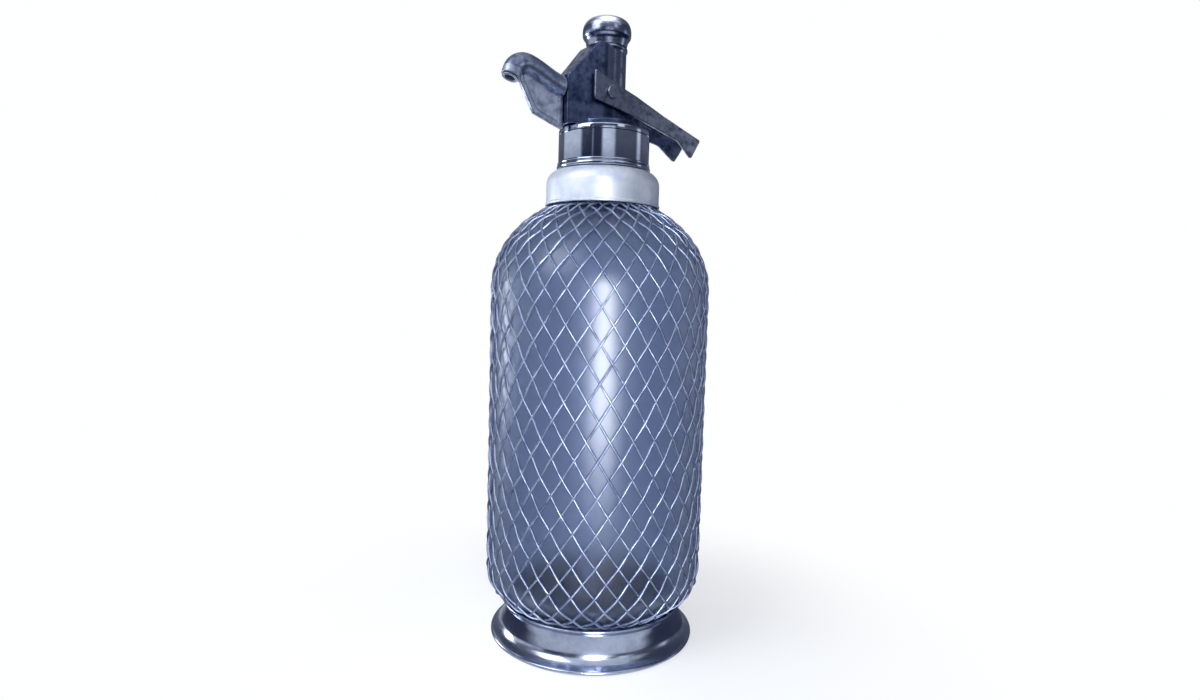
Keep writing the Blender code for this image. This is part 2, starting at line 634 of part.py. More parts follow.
def make_neck():
    """The threaded ring in two halves under the glass lip, and the collar round it."""
    inner_low = NECK_RADIUS + SEAT_GAP
    inner_high = LIP_RADIUS + SEAT_GAP
    ring_bottom = LIP_TOP - NECK_RING_BASE_DROP
    ring_top = LIP_TOP - SEAT_GAP
    step = LIP_BOTTOM - LIP_ROUND - SEAT_GAP
    outline = [(inner_low, ring_bottom), (NECK_RING_RADIUS, ring_bottom), (NECK_RING_RADIUS, ring_top),
               (inner_high, ring_top), (inner_high, LIP_BOTTOM - SEAT_GAP), (inner_low, step)]
    reach = NECK_RING_RADIUS + CUT_OVERRUN
    for name, side in (("neck_ring_left", -1), ("neck_ring_right", 1)):
        ring = turned(name, outline, LARGE_SIDES, "brass")
        near = side * NECK_RING_SPLIT / 2
        far = side * reach
        half = slab("half", [(near, -reach), (far, -reach), (far, reach), (near, reach)],
                    ring_bottom - CUT_OVERRUN, ring_top + CUT_OVERRUN)
        boolean(ring, half, "INTERSECT")
        smooth_again(ring)
    inside = COLLAR_RADIUS - COLLAR_WALL
    collar_bottom = shoulder_height(NET_STAND + NET_WIRE, inside) + SEAT_GAP
    centre = (COLLAR_RADIUS - COLLAR_ROUND, COLLAR_TOP - COLLAR_ROUND)
    under_round = COLLAR_ROUND - COLLAR_WALL
    outline = [(COLLAR_RADIUS, collar_bottom)]
    outline += arc(centre, COLLAR_ROUND, COLLAR_ROUND, 0.0, QUARTER_TURN, ARC_STEPS)
    outline += [(COLLAR_HOLE_RADIUS, COLLAR_TOP), (COLLAR_HOLE_RADIUS, COLLAR_TOP - COLLAR_WALL)]
    outline += arc(centre, under_round, under_round, QUARTER_TURN, 0.0, ARC_STEPS)
    outline += [(inside, collar_bottom)]
    turned("neck_collar", outline, LARGE_SIDES, "collar")


def make_union_nut():
    bead_round = arc((NUT_RADIUS, NUT_BOTTOM + NUT_BEAD_HEIGHT / 2), NUT_BEAD_STAND, NUT_BEAD_HEIGHT / 2,
                     -QUARTER_TURN, QUARTER_TURN, ARC_STEPS)
    hole = SPIGOT_RADIUS + NUT_GAP
    rim = [(NUT_RADIUS, NUT_TOP - NUT_EDGE), (NUT_RADIUS - NUT_EDGE, NUT_TOP), (hole, NUT_TOP)]
    inside = [(hole, NUT_CEILING), (NUT_BORE_RADIUS, NUT_CEILING), (NUT_BORE_RADIUS, NUT_BOTTOM)]
    nut = turned("union_nut", bead_round + rim + inside, LARGE_SIDES, "chrome")
    set_origin(nut, (0.0, 0.0, NUT_BOTTOM))


def make_head_seat():
    seal_radius = LIP_RADIUS - SEAL_INSET
    seal_hole = NECK_BORE_RADIUS + SEAL_INSET
    seal_top = SEAL_BOTTOM + SEAL_THICKNESS
    turned("neck_seal", [(seal_hole, SEAL_BOTTOM), (seal_radius, SEAL_BOTTOM), (seal_radius, seal_top),
                         (seal_hole, seal_top)], MEDIUM_SIDES, "rubber")
    hole = SPIGOT_FOOT_RADIUS + RUN_GAP
    turned("head_flange", [(hole, HEAD_BOTTOM), (FLANGE_RADIUS, HEAD_BOTTOM), (FLANGE_RADIUS, FLANGE_TOP),
                           (hole, FLANGE_TOP)], MEDIUM_SIDES, "brass")


def block_plan(front, back):
    """Plan outline of the casting: narrow at the spout, as wide as the column, with a rounded back."""
    taper = BODY_HALF_WIDTH - PROW_HALF_WIDTH
    right = [(back * x, BODY_HALF_WIDTH * y) for x, y in DECK_END_SHARES]
    left = [(-front * x, PROW_HALF_WIDTH + taper * y) for x, y in PROW_SIDE_SHARES[1:]]
    corner = [(-front, PROW_HALF_WIDTH - taper / 4)]
    half = right[::-1] + left + corner
    return half + [(x, -y) for x, y in half[::-1]]


def make_head_body():
    """Casting with its round base, sloping prow and column, bored for gas, liquid, valve and lever pin."""
    body = slab("head_body", block_plan(PROW_REACH, DECK_REACH), BLOCK_BOTTOM, DECK_TOP, "head metal")
    prow_top = BLOCK_BOTTOM + PROW_SHOULDER_RISE
    lift = COLUMN_TOP - DECK_TOP
    prow_plan = block_plan(PROW_REACH, PROW_HALF_WIDTH / 4)
    prow = slab("prow", prow_plan, BLOCK_BOTTOM + DECK_RISE / 2, COLUMN_TOP)
    reach = PROW_REACH + CUT_OVERRUN
    slope = (COLUMN_TOP - prow_top) / (PROW_REACH - COLUMN_RADIUS)
    start_z = prow_top - slope * CUT_OVERRUN
    end_z = COLUMN_TOP + slope * (COLUMN_RADIUS + CUT_OVERRUN)
    wedge = prism("slope", [(-reach, start_z), (CUT_OVERRUN, end_z), (CUT_OVERRUN, end_z + lift),
                            (-reach, end_z + lift)], BODY_HALF_WIDTH + CUT_OVERRUN)
    boolean(prow, wedge, "DIFFERENCE")
    boolean(body, prow, "UNION")
    step = FLANGE_TOP + SEAT_GAP
    base_top = BLOCK_BOTTOM + BASE_RISE
    spigot = turned("spigot", [(0.0, HEAD_BOTTOM), (SPIGOT_FOOT_RADIUS, HEAD_BOTTOM),
                               (SPIGOT_FOOT_RADIUS, step), (SPIGOT_RADIUS, step),
                               (SPIGOT_RADIUS, base_top - BASE_EDGE), (SPIGOT_RADIUS - BASE_EDGE, base_top),
                               (0.0, base_top)], MEDIUM_SIDES)
    boolean(body, spigot, "UNION")
    column_start = BLOCK_BOTTOM + DECK_RISE / 4
    column = turned("column", [(0.0, column_start), (COLUMN_RADIUS, column_start),
                               (COLUMN_RADIUS, COLUMN_TOP), (CAP_SPIGOT_RADIUS, COLUMN_TOP),
                               (CAP_SPIGOT_RADIUS, CAP_SPIGOT_TOP - CAP_SPIGOT_EDGE),
                               (CAP_SPIGOT_RADIUS - CAP_SPIGOT_EDGE, CAP_SPIGOT_TOP),
                               (0.0, CAP_SPIGOT_TOP)], MEDIUM_SIDES)
    boolean(body, column, "UNION")
    for tool in head_cutters():
        boolean(body, tool, "DIFFERENCE")
    smooth_again(body)


def head_cutters():
    """Bars and blocks that cut the head's bores."""
    gas_bottom = CAP_SPIGOT_TOP - GAS_BORE_DEPTH
    gallery_z = BLOCK_BOTTOM + GALLERY_RISE
    spout_bore = SPOUT_TENON_RADIUS + RUN_GAP
    tenon_end = SPOUT_FACE_X + SPOUT_TENON_LENGTH + SEAT_GAP
    link_z = HEAD_BOTTOM + LINK_RISE
    slot_x = VALVE_X - STEM_RADIUS - RUN_GAP
    slot_end = COLUMN_RADIUS + CUT_OVERRUN
    slot_top = lever_top(slot_x) + TONGUE_SLOT_HEADROOM
    slot_half = TONGUE_HALF_WIDTH + STEM_SLOT_GAP
    pin_reach = BODY_HALF_WIDTH + CUT_OVERRUN
    well_radius = TUBE_RADIUS + RUN_GAP
    bush_radius = well_radius + BUSH_WALL + RUN_GAP
    bush_end = HEAD_BOTTOM + BUSH_DEPTH + SEAT_GAP
    link_end = SPIGOT_FOOT_RADIUS + CUT_OVERRUN / 2
    gallery_end = RISER_X - GALLERY_RADIUS / 2
    riser_start = gallery_z - GALLERY_RADIUS / 2
    riser_top = SPOUT_ROOT_Z + GALLERY_RADIUS
    tenon_start = SPOUT_FACE_X - CUT_OVERRUN
    mouth_start = tenon_end - CUT_OVERRUN
    stem_start = CHAMBER_TOP - CUT_OVERRUN
    stem_end = DECK_TOP + CUT_OVERRUN
    below = HEAD_BOTTOM - CUT_OVERRUN
    yield rod("gas_bore", (0, 0, gas_bottom), (0, 0, CAP_SPIGOT_TOP + CUT_OVERRUN), GAS_BORE_RADIUS)
    yield rod("gas_way", (GAS_WAY_X, 0, gas_bottom + GAS_WAY_RADIUS), (GAS_WAY_X, GAS_WAY_EXIT_Y, below),
              GAS_WAY_RADIUS, FINE_BORE_SIDES)
    yield rod("chamber", (VALVE_X, 0, below), (VALVE_X, 0, CHAMBER_TOP), CHAMBER_RADIUS)
    yield rod("stem_bore", (VALVE_X, 0, stem_start), (VALVE_X, 0, stem_end), STEM_RADIUS + RUN_GAP)
    yield prism("stem_slot", [(slot_x, DECK_TOP), (slot_end, DECK_TOP), (slot_end, slot_top),
                              (slot_x, slot_top)], slot_half)
    yield rod("tube_well", (TUBE_X, 0, below), (TUBE_X, 0, HEAD_BOTTOM + WELL_RISE), well_radius)
    yield rod("bush_well", (TUBE_X, 0, below), (TUBE_X, 0, bush_end), bush_radius)
    yield rod("link", (TUBE_X, 0, link_z), (link_end, 0, link_z), LINK_RADIUS, FINE_BORE_SIDES)
    yield rod("gallery", (gallery_end, 0, gallery_z), (VALVE_X, 0, gallery_z), GALLERY_RADIUS, BORE_SIDES)
    yield rod("riser", (RISER_X, 0, riser_start), (RISER_X, 0, riser_top), GALLERY_RADIUS, BORE_SIDES)
    yield rod("tenon_bore", (tenon_start, 0, SPOUT_ROOT_Z), (tenon_end, 0, SPOUT_ROOT_Z), spout_bore)
    yield rod("riser_mouth", (mouth_start, 0, SPOUT_ROOT_Z), (RISER_X, 0, SPOUT_ROOT_Z), GALLERY_RADIUS,
              BORE_SIDES)
    yield rod("pin_hole", (PIVOT_X, -pin_reach, PIVOT_Z), (PIVOT_X, pin_reach, PIVOT_Z),
              PIN_RADIUS + RUN_GAP)


def spout_path():
    """Centre line of the spout from its root face over the crest to its mouth, with directions."""
    root = Vector((SPOUT_FACE_X, 0.0, SPOUT_ROOT_Z))
    crest = root + Vector((-SPOUT_CREST_REACH, 0.0, SPOUT_CREST_RISE))
    forward = Vector((-1.0, 0.0, 0.0))
    rising = Vector((-math.cos(CREST_SLOPE), 0.0, math.sin(CREST_SLOPE)))
    climb = interpolate_bezier(root, root + forward * SPOUT_CREST_REACH * SPOUT_ROOT_HANDLE_SHARE,
                               crest - rising * SPOUT_CREST_REACH * SPOUT_CREST_HANDLE_SHARE, crest,
                               SPOUT_ROOT_STEPS + 1)
    points = list(climb)
    middle = [(after - before).normalized() for before, after in zip(points, points[2:])]
    directions = [forward] + middle + [rising]
    centre = crest - Vector((rising.z, 0.0, -rising.x)) * SPOUT_BEND_RADIUS
    turn = CREST_SLOPE + QUARTER_TURN - MOUTH_LEAN
    for step in range(1, SPOUT_BEND_STEPS + 1):
        turned_by = Matrix.Rotation(-turn * step / SPOUT_BEND_STEPS, 3, "Y")
        points.append(centre + turned_by @ (crest - centre))
        directions.append(turned_by @ rising)
    points.append(points[-1] + directions[-1] * SPOUT_END_LENGTH)
    directions.append(directions[-1].copy())
    return points, directions


def swept(name, points, directions, radii, sides, finish=None):
    """A round bar along a path in the XZ plane, with a radius at each point."""
    bm = bmesh.new()
    side = Vector((0.0, 1.0, 0.0))
    rings = []
    for point, direction, radius in zip(points, directions, radii):
        up = direction.cross(side)
        angles = [FULL_TURN * step / sides for step in range(sides)]
        rings.append([bm.verts.new(point + side * radius * math.cos(a) + up * radius * math.sin(a))
                      for a in angles])
    for low, high in zip(rings, rings[1:]):
        for index in range(sides):
            bm.faces.new([low[index], low[index - 1], high[index - 1], high[index]])
    bm.faces.new(rings[0])
    bm.faces.new(rings[-1])
    return new_object(name, bm, finish)


def make_spout():
    points, directions = spout_path()
    last = len(points) - 1
    taper = SPOUT_MOUTH_RADIUS - SPOUT_ROOT_RADIUS
    radii = [SPOUT_ROOT_RADIUS + taper * i / last for i in range(last + 1)]
    spout = swept("spout", points, directions, radii, SPOUT_SIDES, "head metal")
    fin_root = SPOUT_ROOT_Z - FIN_DEPTH
    corner = (SPOUT_FACE_X - FIN_CORNER_REACH, SPOUT_ROOT_Z - FIN_CORNER_DEPTH)
    crest, bend_end = points[SPOUT_ROOT_STEPS], points[-2]
    fin = prism("fin", [(SPOUT_FACE_X, SPOUT_ROOT_Z), (SPOUT_FACE_X, fin_root), corner,
                        (bend_end.x + SPOUT_MOUTH_RADIUS / 2, bend_end.z - SPOUT_MOUTH_RADIUS / 4),
                        (crest.x, crest.z)], FIN_THICKNESS / 2)
    boolean(spout, fin, "UNION")
    tenon = rod("tenon", (SPOUT_FACE_X - SPOUT_TENON_LENGTH / 2, 0, SPOUT_ROOT_Z),
                (SPOUT_FACE_X + SPOUT_TENON_LENGTH, 0, SPOUT_ROOT_Z), SPOUT_TENON_RADIUS)
    boolean(spout, tenon, "UNION")
    path = [points[0] + Vector((SPOUT_TENON_LENGTH + CUT_OVERRUN, 0, 0))] + points
    path.append(points[-1] + directions[-1] * CUT_OVERRUN)
    bore = swept("bore", path, [directions[0]] + directions + [directions[-1]],
                 [SPOUT_BORE_RADIUS] * len(path), BORE_SIDES)
    boolean(spout, bore, "DIFFERENCE")
    mouth, falling = points[-1], directions[-1]
    outer = SPOUT_BORE_RADIUS + TIP_WALL
    inner = TIP_LENGTH - TIP_STAND
    socket_floor = mouth - falling * (inner + SEAT_GAP)
    socket = rod("socket", socket_floor, mouth + falling * CUT_OVERRUN, outer + RUN_GAP)
    boolean(spout, socket, "DIFFERENCE")
    smooth_again(spout)
    set_origin(spout, points[0])
    lip = outer + TIP_WALL
    tip = turned("nozzle_tip", [(SPOUT_BORE_RADIUS, -inner), (outer, -inner), (outer, SEAT_GAP),
                                (lip, SEAT_GAP), (lip, TIP_STAND), (SPOUT_BORE_RADIUS, TIP_STAND)],
                 SMALL_SIDES, "chrome")
    tip.data.transform(falling.to_track_quat("Z", "Y").to_matrix().to_4x4())
    tip.location = mouth


def lever_top(x):
    """Height of the lever's straight top."""
    return PIVOT_Z + LEVER_TOP_RISE - math.tan(LEVER_SLOPE) * (x - PIVOT_X)


def lever_outline():
    """Side outline of the lever: a straight top, a deep front, a knee, and a deep slanted tail."""
    front = PIVOT_X - LEVER_FRONT_REACH
    knee = PIVOT_X + LEVER_KNEE_REACH
    waist = PIVOT_X + LEVER_WAIST_REACH
    tail = PIVOT_X + LEVER_TAIL_REACH
    low_tail = tail - LEVER_TAIL_SLANT
    return [(front, lever_top(front)), (tail, lever_top(tail)),
            (low_tail, lever_top(low_tail) - LEVER_TAIL_DEPTH),
            (waist, lever_top(waist) - LEVER_WAIST_DEPTH),
            (knee, lever_top(knee) - LEVER_KNEE_DEPTH),
            (front, lever_top(front) - LEVER_FRONT_DEPTH)]


def narrow_towards_tail(obj, half_width, tail_half_width):
    """Draws both sides in evenly from the start of the taper to the lever's tail."""
    bm = bmesh.new()
    bm.from_mesh(obj.data)
    start = LEVER_TAPER_START
    bmesh.ops.bisect_plane(bm, geom=bm.verts[:] + bm.edges[:] + bm.faces[:], dist=WELD,
                           plane_co=(start, 0, 0), plane_no=(1, 0, 0))
    lean = (half_width - tail_half_width) / (PIVOT_X + LEVER_TAIL_REACH - start)
    for vert in bm.verts:
        vert.co.y -= math.copysign(max(vert.co.x - start, 0.0) * lean, vert.co.y)
    bm.to_mesh(obj.data)
    bm.free()


def make_lever():
    outline = lever_outline()
    lever = prism("lever", outline, CHEEK_OUTER, "lever metal")
    narrow_towards_tail(lever, CHEEK_OUTER, LEVER_TAIL_HALF_WIDTH)
    bm = bmesh.new()
    bm.from_mesh(lever.data)
    edges = [edge for edge in bm.edges if lever_top_edge(edge)]
    bmesh.ops.bevel(bm, geom=edges, offset=LEVER_EDGE_ROUND, segments=LEVER_EDGE_STEPS, affect="EDGES")
    bm.to_mesh(lever.data)
    bm.free()
    drop = LEVER_THICKNESS / math.cos(LEVER_SLOPE)
    start = outline[0][0] - CUT_OVERRUN
    end = outline[1][0] + CUT_OVERRUN
    high = outline[0][1] + CUT_OVERRUN
    deep = outline[2][1] - CUT_OVERRUN
    hollow = prism("hollow", [(start, lever_top(start) - drop), (end, lever_top(end) - drop), (end, deep),
                              (start, deep)], CHEEK_INNER)
    narrow_towards_tail(hollow, CHEEK_INNER, LEVER_TAIL_HALF_WIDTH - LEVER_THICKNESS)
    boolean(lever, hollow, "DIFFERENCE")
    mouth = slab("mouth", [(start, -CHEEK_INNER), (0.0, -CHEEK_INNER), (0.0, CHEEK_INNER),
                           (start, CHEEK_INNER)], deep, high)
    boolean(lever, mouth, "DIFFERENCE")
    clear = COLUMN_RADIUS + COLUMN_SWING_GAP
    boolean(lever, slab("saddle", saddle_points(clear, CHEEK_INNER), deep, high), "DIFFERENCE")
    boolean(lever, prism("tongue", tongue_outline(clear + CUT_OVERRUN), TONGUE_HALF_WIDTH), "UNION")
    reach = CHEEK_OUTER + CUT_OVERRUN
    pin_holes = rod("pin_holes", (PIVOT_X, -reach, PIVOT_Z), (PIVOT_X, reach, PIVOT_Z), PIN_RADIUS + RUN_GAP)
    boolean(lever, pin_holes, "DIFFERENCE")
    smooth_again(lever)
    set_origin(lever, (PIVOT_X, 0.0, PIVOT_Z))


def tongue_outline(end):
    """The tongue that presses the valve stem, along the lever's slope and a little under its top."""
    start = VALVE_X - STEM_RADIUS
    upper = [(x, lever_top(x) - TONGUE_STEP) for x in (start, end)]
    return upper + [(x, z - TONGUE_THICKNESS) for x, z in upper[::-1]]


def stem_tip_height():
    """Top of the stem's dome: a seat's gap under the sloping tongue."""
    underside = lever_top(VALVE_X) - TONGUE_STEP - TONGUE_THICKNESS
    return underside - (STEM_RADIUS + SEAT_GAP) / math.cos(LEVER_SLOPE) + STEM_RADIUS


def saddle_points(radius, half_width):
    """Half disc round the column, as wide as the channel's inside."""
    start = math.asin(half_width / radius)
    angles = [start - 2 * start * step / SMALL_SIDES for step in range(SMALL_SIDES + 1)]
    curve = [(radius * math.cos(a), radius * math.sin(a)) for a in angles]
    return [(-radius / 2, half_width)] + curve + [(-radius / 2, -half_width)]


def lever_top_edge(edge):
    """True for the long edges on both sides of the lever's top."""
    first, second = (vert.co for vert in edge.verts)
    return (first.y * second.y > 0 and abs(first.z - lever_top(first.x)) < WELD
            and abs(second.z - lever_top(second.x)) < WELD)


def turned_across(name, profile, sides, finish, centre):
    """A turned piece whose axis lies along Y through a point in the XZ plane."""
    obj = turned(name, profile, sides, finish)
    obj.data.transform(Matrix.Rotation(-QUARTER_TURN, 4, "X"))
    obj.data.transform(Matrix.Translation((centre[0], 0.0, centre[1])))
    return obj


def make_lever_pin():
    """Headed pin through both cheeks, and the clip in its groove at the far side."""
    seat = CHEEK_OUTER + SEAT_GAP
    head_end = seat + PIN_HEAD_THICKNESS
    clip_end = seat + CLIP_THICKNESS
    end = CHEEK_OUTER + PIN_STAND
    groove = PIN_RADIUS - PIN_GROOVE_DEPTH
    groove_start = seat - SEAT_GAP
    groove_end = clip_end + SEAT_GAP
    head = [(0.0, -head_end), (PIN_HEAD_RADIUS - PIN_EDGE, -head_end),
            (PIN_HEAD_RADIUS, PIN_EDGE - head_end), (PIN_HEAD_RADIUS, -seat), (PIN_RADIUS, -seat)]
    shank = [(PIN_RADIUS, groove_start), (groove, groove_start), (groove, groove_end),
             (PIN_RADIUS, groove_end), (PIN_RADIUS, end - PIN_EDGE), (PIN_RADIUS - PIN_EDGE, end), (0.0, end)]
    pin = turned_across("lever_pin", head + shank, SMALL_SIDES, "steel", (PIVOT_X, PIVOT_Z))
    set_origin(pin, (PIVOT_X, 0.0, PIVOT_Z))
    hole = groove + RUN_GAP
    ring = [(hole, seat), (CLIP_RADIUS, seat), (CLIP_RADIUS, clip_end), (hole, clip_end)]
    clip = turned_across("pin_clip", ring, SMALL_SIDES, "steel", (PIVOT_X, PIVOT_Z))
    set_origin(clip, (PIVOT_X, 0.0, PIVOT_Z))


def make_valve():
    axis = (VALVE_X, 0.0)
    outer = CHAMBER_FIT_RADIUS
    stem_hole = STEM_RADIUS + RUN_GAP
    stem_tip = stem_tip_height()
    stem_bottom = WASHER_TOP + SEAT_GAP
    dome = arc((0.0, stem_tip - STEM_RADIUS), STEM_RADIUS, STEM_RADIUS, 0.0, QUARTER_TURN, ARC_STEPS)[:-1]
    stem = turned("valve_stem", [(0.0, stem_bottom), (STEM_RADIUS, stem_bottom)] + dome + [(0.0, stem_tip)],
                  SMALL_SIDES, "steel", axis)
    set_origin(stem, (*axis, stem_tip))
    washer_bottom = DISC_TOP + SEAT_GAP
    turned("valve_washer", [(0.0, washer_bottom), (DISC_RADIUS, washer_bottom), (DISC_RADIUS, WASHER_TOP),
                            (0.0, WASHER_TOP)], SMALL_SIDES, "rubber", axis)
    nose_bottom = DISC_BOTTOM - DISC_NOSE_HEIGHT
    turned("valve_disc", [(0.0, nose_bottom), (DISC_NOSE_RADIUS - RUN_GAP, nose_bottom),
                          (DISC_NOSE_RADIUS, DISC_BOTTOM), (DISC_RADIUS, DISC_BOTTOM),
                          (DISC_RADIUS, DISC_TOP), (0.0, DISC_TOP)], SMALL_SIDES, "brass", axis)
    seat_top = SEAT_BOTTOM + SEAT_THICKNESS
    turned("valve_seat", [(SEAT_BORE_RADIUS, SEAT_BOTTOM), (outer, SEAT_BOTTOM), (outer, seat_top),
                          (SEAT_BORE_RADIUS, seat_top)], SMALL_SIDES, "brass", axis)
    turned("gland_packing", [(stem_hole, PACKING_BOTTOM), (outer, PACKING_BOTTOM), (outer, PACKING_TOP),
                             (stem_hole, PACKING_TOP)], SMALL_SIDES, "rubber", axis)
    gland_bottom = GLAND_TOP - GLAND_THICKNESS
    turned("gland_ring", [(stem_hole, gland_bottom), (outer, gland_bottom), (outer, GLAND_TOP),
                          (stem_hole, GLAND_TOP)], SMALL_SIDES, "brass", axis)
    bore = outer - PLUG_WALL
    turned("valve_plug", [(0.0, PLUG_BOTTOM), (outer, PLUG_BOTTOM), (outer, PLUG_TOP), (bore, PLUG_TOP),
                          (bore, PLUG_FLOOR), (0.0, PLUG_FLOOR)], SMALL_SIDES, "brass", axis)
    make_spring(bore)


def make_spring(bore):
    """Coil between the plug's floor and the valve disc."""
    coil = bore - SEAT_GAP - SPRING_WIRE_RADIUS
    bottom = PLUG_FLOOR + SEAT_GAP + SPRING_WIRE_RADIUS
    top = DISC_BOTTOM - SEAT_GAP - SPRING_WIRE_RADIUS
    steps = SPRING_TURNS * SPRING_STEPS_PER_TURN
    curve = bpy.data.curves.new("valve_spring", "CURVE")
    curve.dimensions = "3D"
    curve.bevel_depth = SPRING_WIRE_RADIUS
    curve.bevel_resolution = 1
    curve.use_fill_caps = True
    spline = curve.splines.new("POLY")
    spline.points.add(steps)
    for index, point in enumerate(spline.points):
        angle = FULL_TURN * index / SPRING_STEPS_PER_TURN
        height = bottom + (top - bottom) * index / steps
        point.co = (VALVE_X + coil * math.cos(angle), coil * math.sin(angle), height, 1.0)
    spring = bpy.data.objects.new("valve_spring", curve)
    bpy.context.collection.objects.link(spring)
    curve.materials.append(make_material("valve_spring", *FINISHES["steel"]))
    gap = (top - bottom) / SPRING_TURNS - 2 * SPRING_WIRE_RADIUS
    print("valve_spring gap between turns %.2f mm" % (gap / MM))


def make_liquid_way():
    axis = (TUBE_X, 0.0)
    tube_top = HEAD_BOTTOM + TUBE_TOP_RISE
    tube_bottom = GLASS_BOTTOM + GLASS_WALL + TUBE_FOOT_CLEARANCE
    turned("dip_tube", [(TUBE_BORE_RADIUS, tube_bottom), (TUBE_RADIUS, tube_bottom), (TUBE_RADIUS, tube_top),
                        (TUBE_BORE_RADIUS, tube_top)], SMALL_SIDES, "tube", axis)
    inner = TUBE_RADIUS + RUN_GAP
    outer = inner + BUSH_WALL
    bush_top = HEAD_BOTTOM + BUSH_DEPTH
    bush_bottom = bush_top - BUSH_LENGTH
    turned("dip_tube_bush", [(inner, bush_bottom), (outer, bush_bottom), (outer, bush_top),
                             (inner, bush_top)], SMALL_SIDES, "brass", axis)


def make_charging_port():
    """The cap with its washer, and the piercing pin with its sleeve in the column's bore."""
    cap_bottom = COLUMN_TOP + SEAT_GAP
    bore = CAP_BORE_RADIUS
    washer_bottom = CAP_SPIGOT_TOP + SEAT_GAP
    washer_top = washer_bottom + CAP_WASHER_THICKNESS
    ceiling = washer_top + SEAT_GAP
    waist = [(CAP_RIM_RADIUS + CAP_SWELL * out, cap_bottom + CAP_HEIGHT * up)
             for out, up in CAP_WAIST_SHARES]
    dome = [(CAP_RADIUS * across, cap_bottom + CAP_HEIGHT * up) for across, up in CAP_DOME_SHARES]
    inside = [(0.0, ceiling), (bore, ceiling), (bore, cap_bottom)]
    outline = inside + waist + dome + [(0.0, cap_bottom + CAP_HEIGHT)]
    cap = turned("charging_cap", outline, MEDIUM_SIDES, "chrome")
    set_origin(cap, (0.0, 0.0, cap_bottom))
    washer_radius = bore - RUN_GAP
    washer = turned("cap_washer", [(0.0, washer_bottom), (washer_radius, washer_bottom),
                                   (washer_radius, washer_top), (0.0, washer_top)], SMALL_SIDES, "rubber")
    set_origin(washer, (0.0, 0.0, washer_bottom))
    seat_top = CAP_SPIGOT_TOP - PIERCER_SEAT_DEPTH
    seat_bottom = seat_top - PIERCER_SEAT_THICKNESS
    point = seat_top + PIERCER_NEEDLE_LENGTH
    shoulder = point - PIERCER_NEEDLE_RADIUS
    shank_end = seat_bottom - PIERCER_SHANK_LENGTH
    body = GAS_BORE_RADIUS - RUN_GAP
    turned("piercing_pin", [(PIERCER_HOLE_RADIUS, shank_end), (PIERCER_SHANK_RADIUS, shank_end),
                            (PIERCER_SHANK_RADIUS, seat_bottom), (body, seat_bottom), (body, seat_top),
                            (PIERCER_NEEDLE_RADIUS, seat_top), (PIERCER_NEEDLE_RADIUS, shoulder),
                            (PIERCER_HOLE_RADIUS, point)], SMALL_SIDES, "steel")
    sleeve_top = seat_bottom - SEAT_GAP
    sleeve_bottom = sleeve_top - SLEEVE_LENGTH
    hole = PIERCER_SHANK_RADIUS + RUN_GAP
    outer = hole + SLEEVE_WALL
    turned("check_sleeve", [(hole, sleeve_bottom), (outer, sleeve_bottom), (outer, sleeve_top),
                            (hole, sleeve_top)], SMALL_SIDES, "rubber")


FINISHES = {
    "glass": ((0.42, 0.5, 0.66), 0.05, 0.0, 0.35),
    "net wire": ((0.5, 0.55, 0.68), 0.35, 1.0),
    "chrome": ((0.75, 0.8, 0.9), 0.12, 1.0),
    "head metal": ((0.6, 0.66, 0.8), 0.2, 1.0),
    "lever metal": ((0.62, 0.68, 0.82), 0.2, 1.0),
    "foot metal": ((0.6, 0.66, 0.8), 0.25, 1.0),
    "collar": ((0.86, 0.89, 0.95), 0.4, 0.0),
    "brass": ((0.7, 0.55, 0.3), 0.3, 1.0),
    "steel": ((0.6, 0.62, 0.66), 0.3, 1.0),
    "tube": ((0.8, 0.84, 0.9), 0.4, 0.0),
    "rubber": ((0.06, 0.06, 0.08), 0.7, 0.0),
    "felt": ((0.1, 0.12, 0.2), 0.95, 0.0),
}


def main():
    clear_scene()
    make_foot()
    make_glass()
    make_net()
    make_neck()
    make_union_nut()
    make_head_seat()
    make_head_body()
    make_spout()
    make_lever()
    make_lever_pin()
    make_valve()
    make_liquid_way()
    make_charging_port()


main()
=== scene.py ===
import math
from functools import partial

import bmesh
import bpy
from mathutils import Matrix, Quaternion, Vector
from mathutils.geometry import interpolate_bezier


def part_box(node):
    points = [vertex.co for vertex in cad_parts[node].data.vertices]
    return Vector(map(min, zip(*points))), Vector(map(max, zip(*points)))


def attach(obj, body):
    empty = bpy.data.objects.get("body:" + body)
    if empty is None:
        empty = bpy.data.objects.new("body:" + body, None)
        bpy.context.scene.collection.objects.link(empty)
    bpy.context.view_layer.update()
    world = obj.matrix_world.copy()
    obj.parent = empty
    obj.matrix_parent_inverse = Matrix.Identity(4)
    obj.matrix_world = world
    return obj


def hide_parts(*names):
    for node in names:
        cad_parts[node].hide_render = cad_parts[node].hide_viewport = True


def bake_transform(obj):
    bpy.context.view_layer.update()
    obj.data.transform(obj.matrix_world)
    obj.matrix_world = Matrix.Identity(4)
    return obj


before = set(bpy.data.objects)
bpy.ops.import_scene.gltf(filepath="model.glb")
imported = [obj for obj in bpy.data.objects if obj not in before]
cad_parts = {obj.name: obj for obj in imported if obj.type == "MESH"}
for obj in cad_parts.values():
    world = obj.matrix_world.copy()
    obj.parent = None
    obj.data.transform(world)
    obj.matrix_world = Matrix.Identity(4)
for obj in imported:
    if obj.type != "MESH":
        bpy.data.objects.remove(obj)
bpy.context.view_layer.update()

mm = 0.001
fullTurn = 2 * math.pi
quarterTurn = math.pi / 2

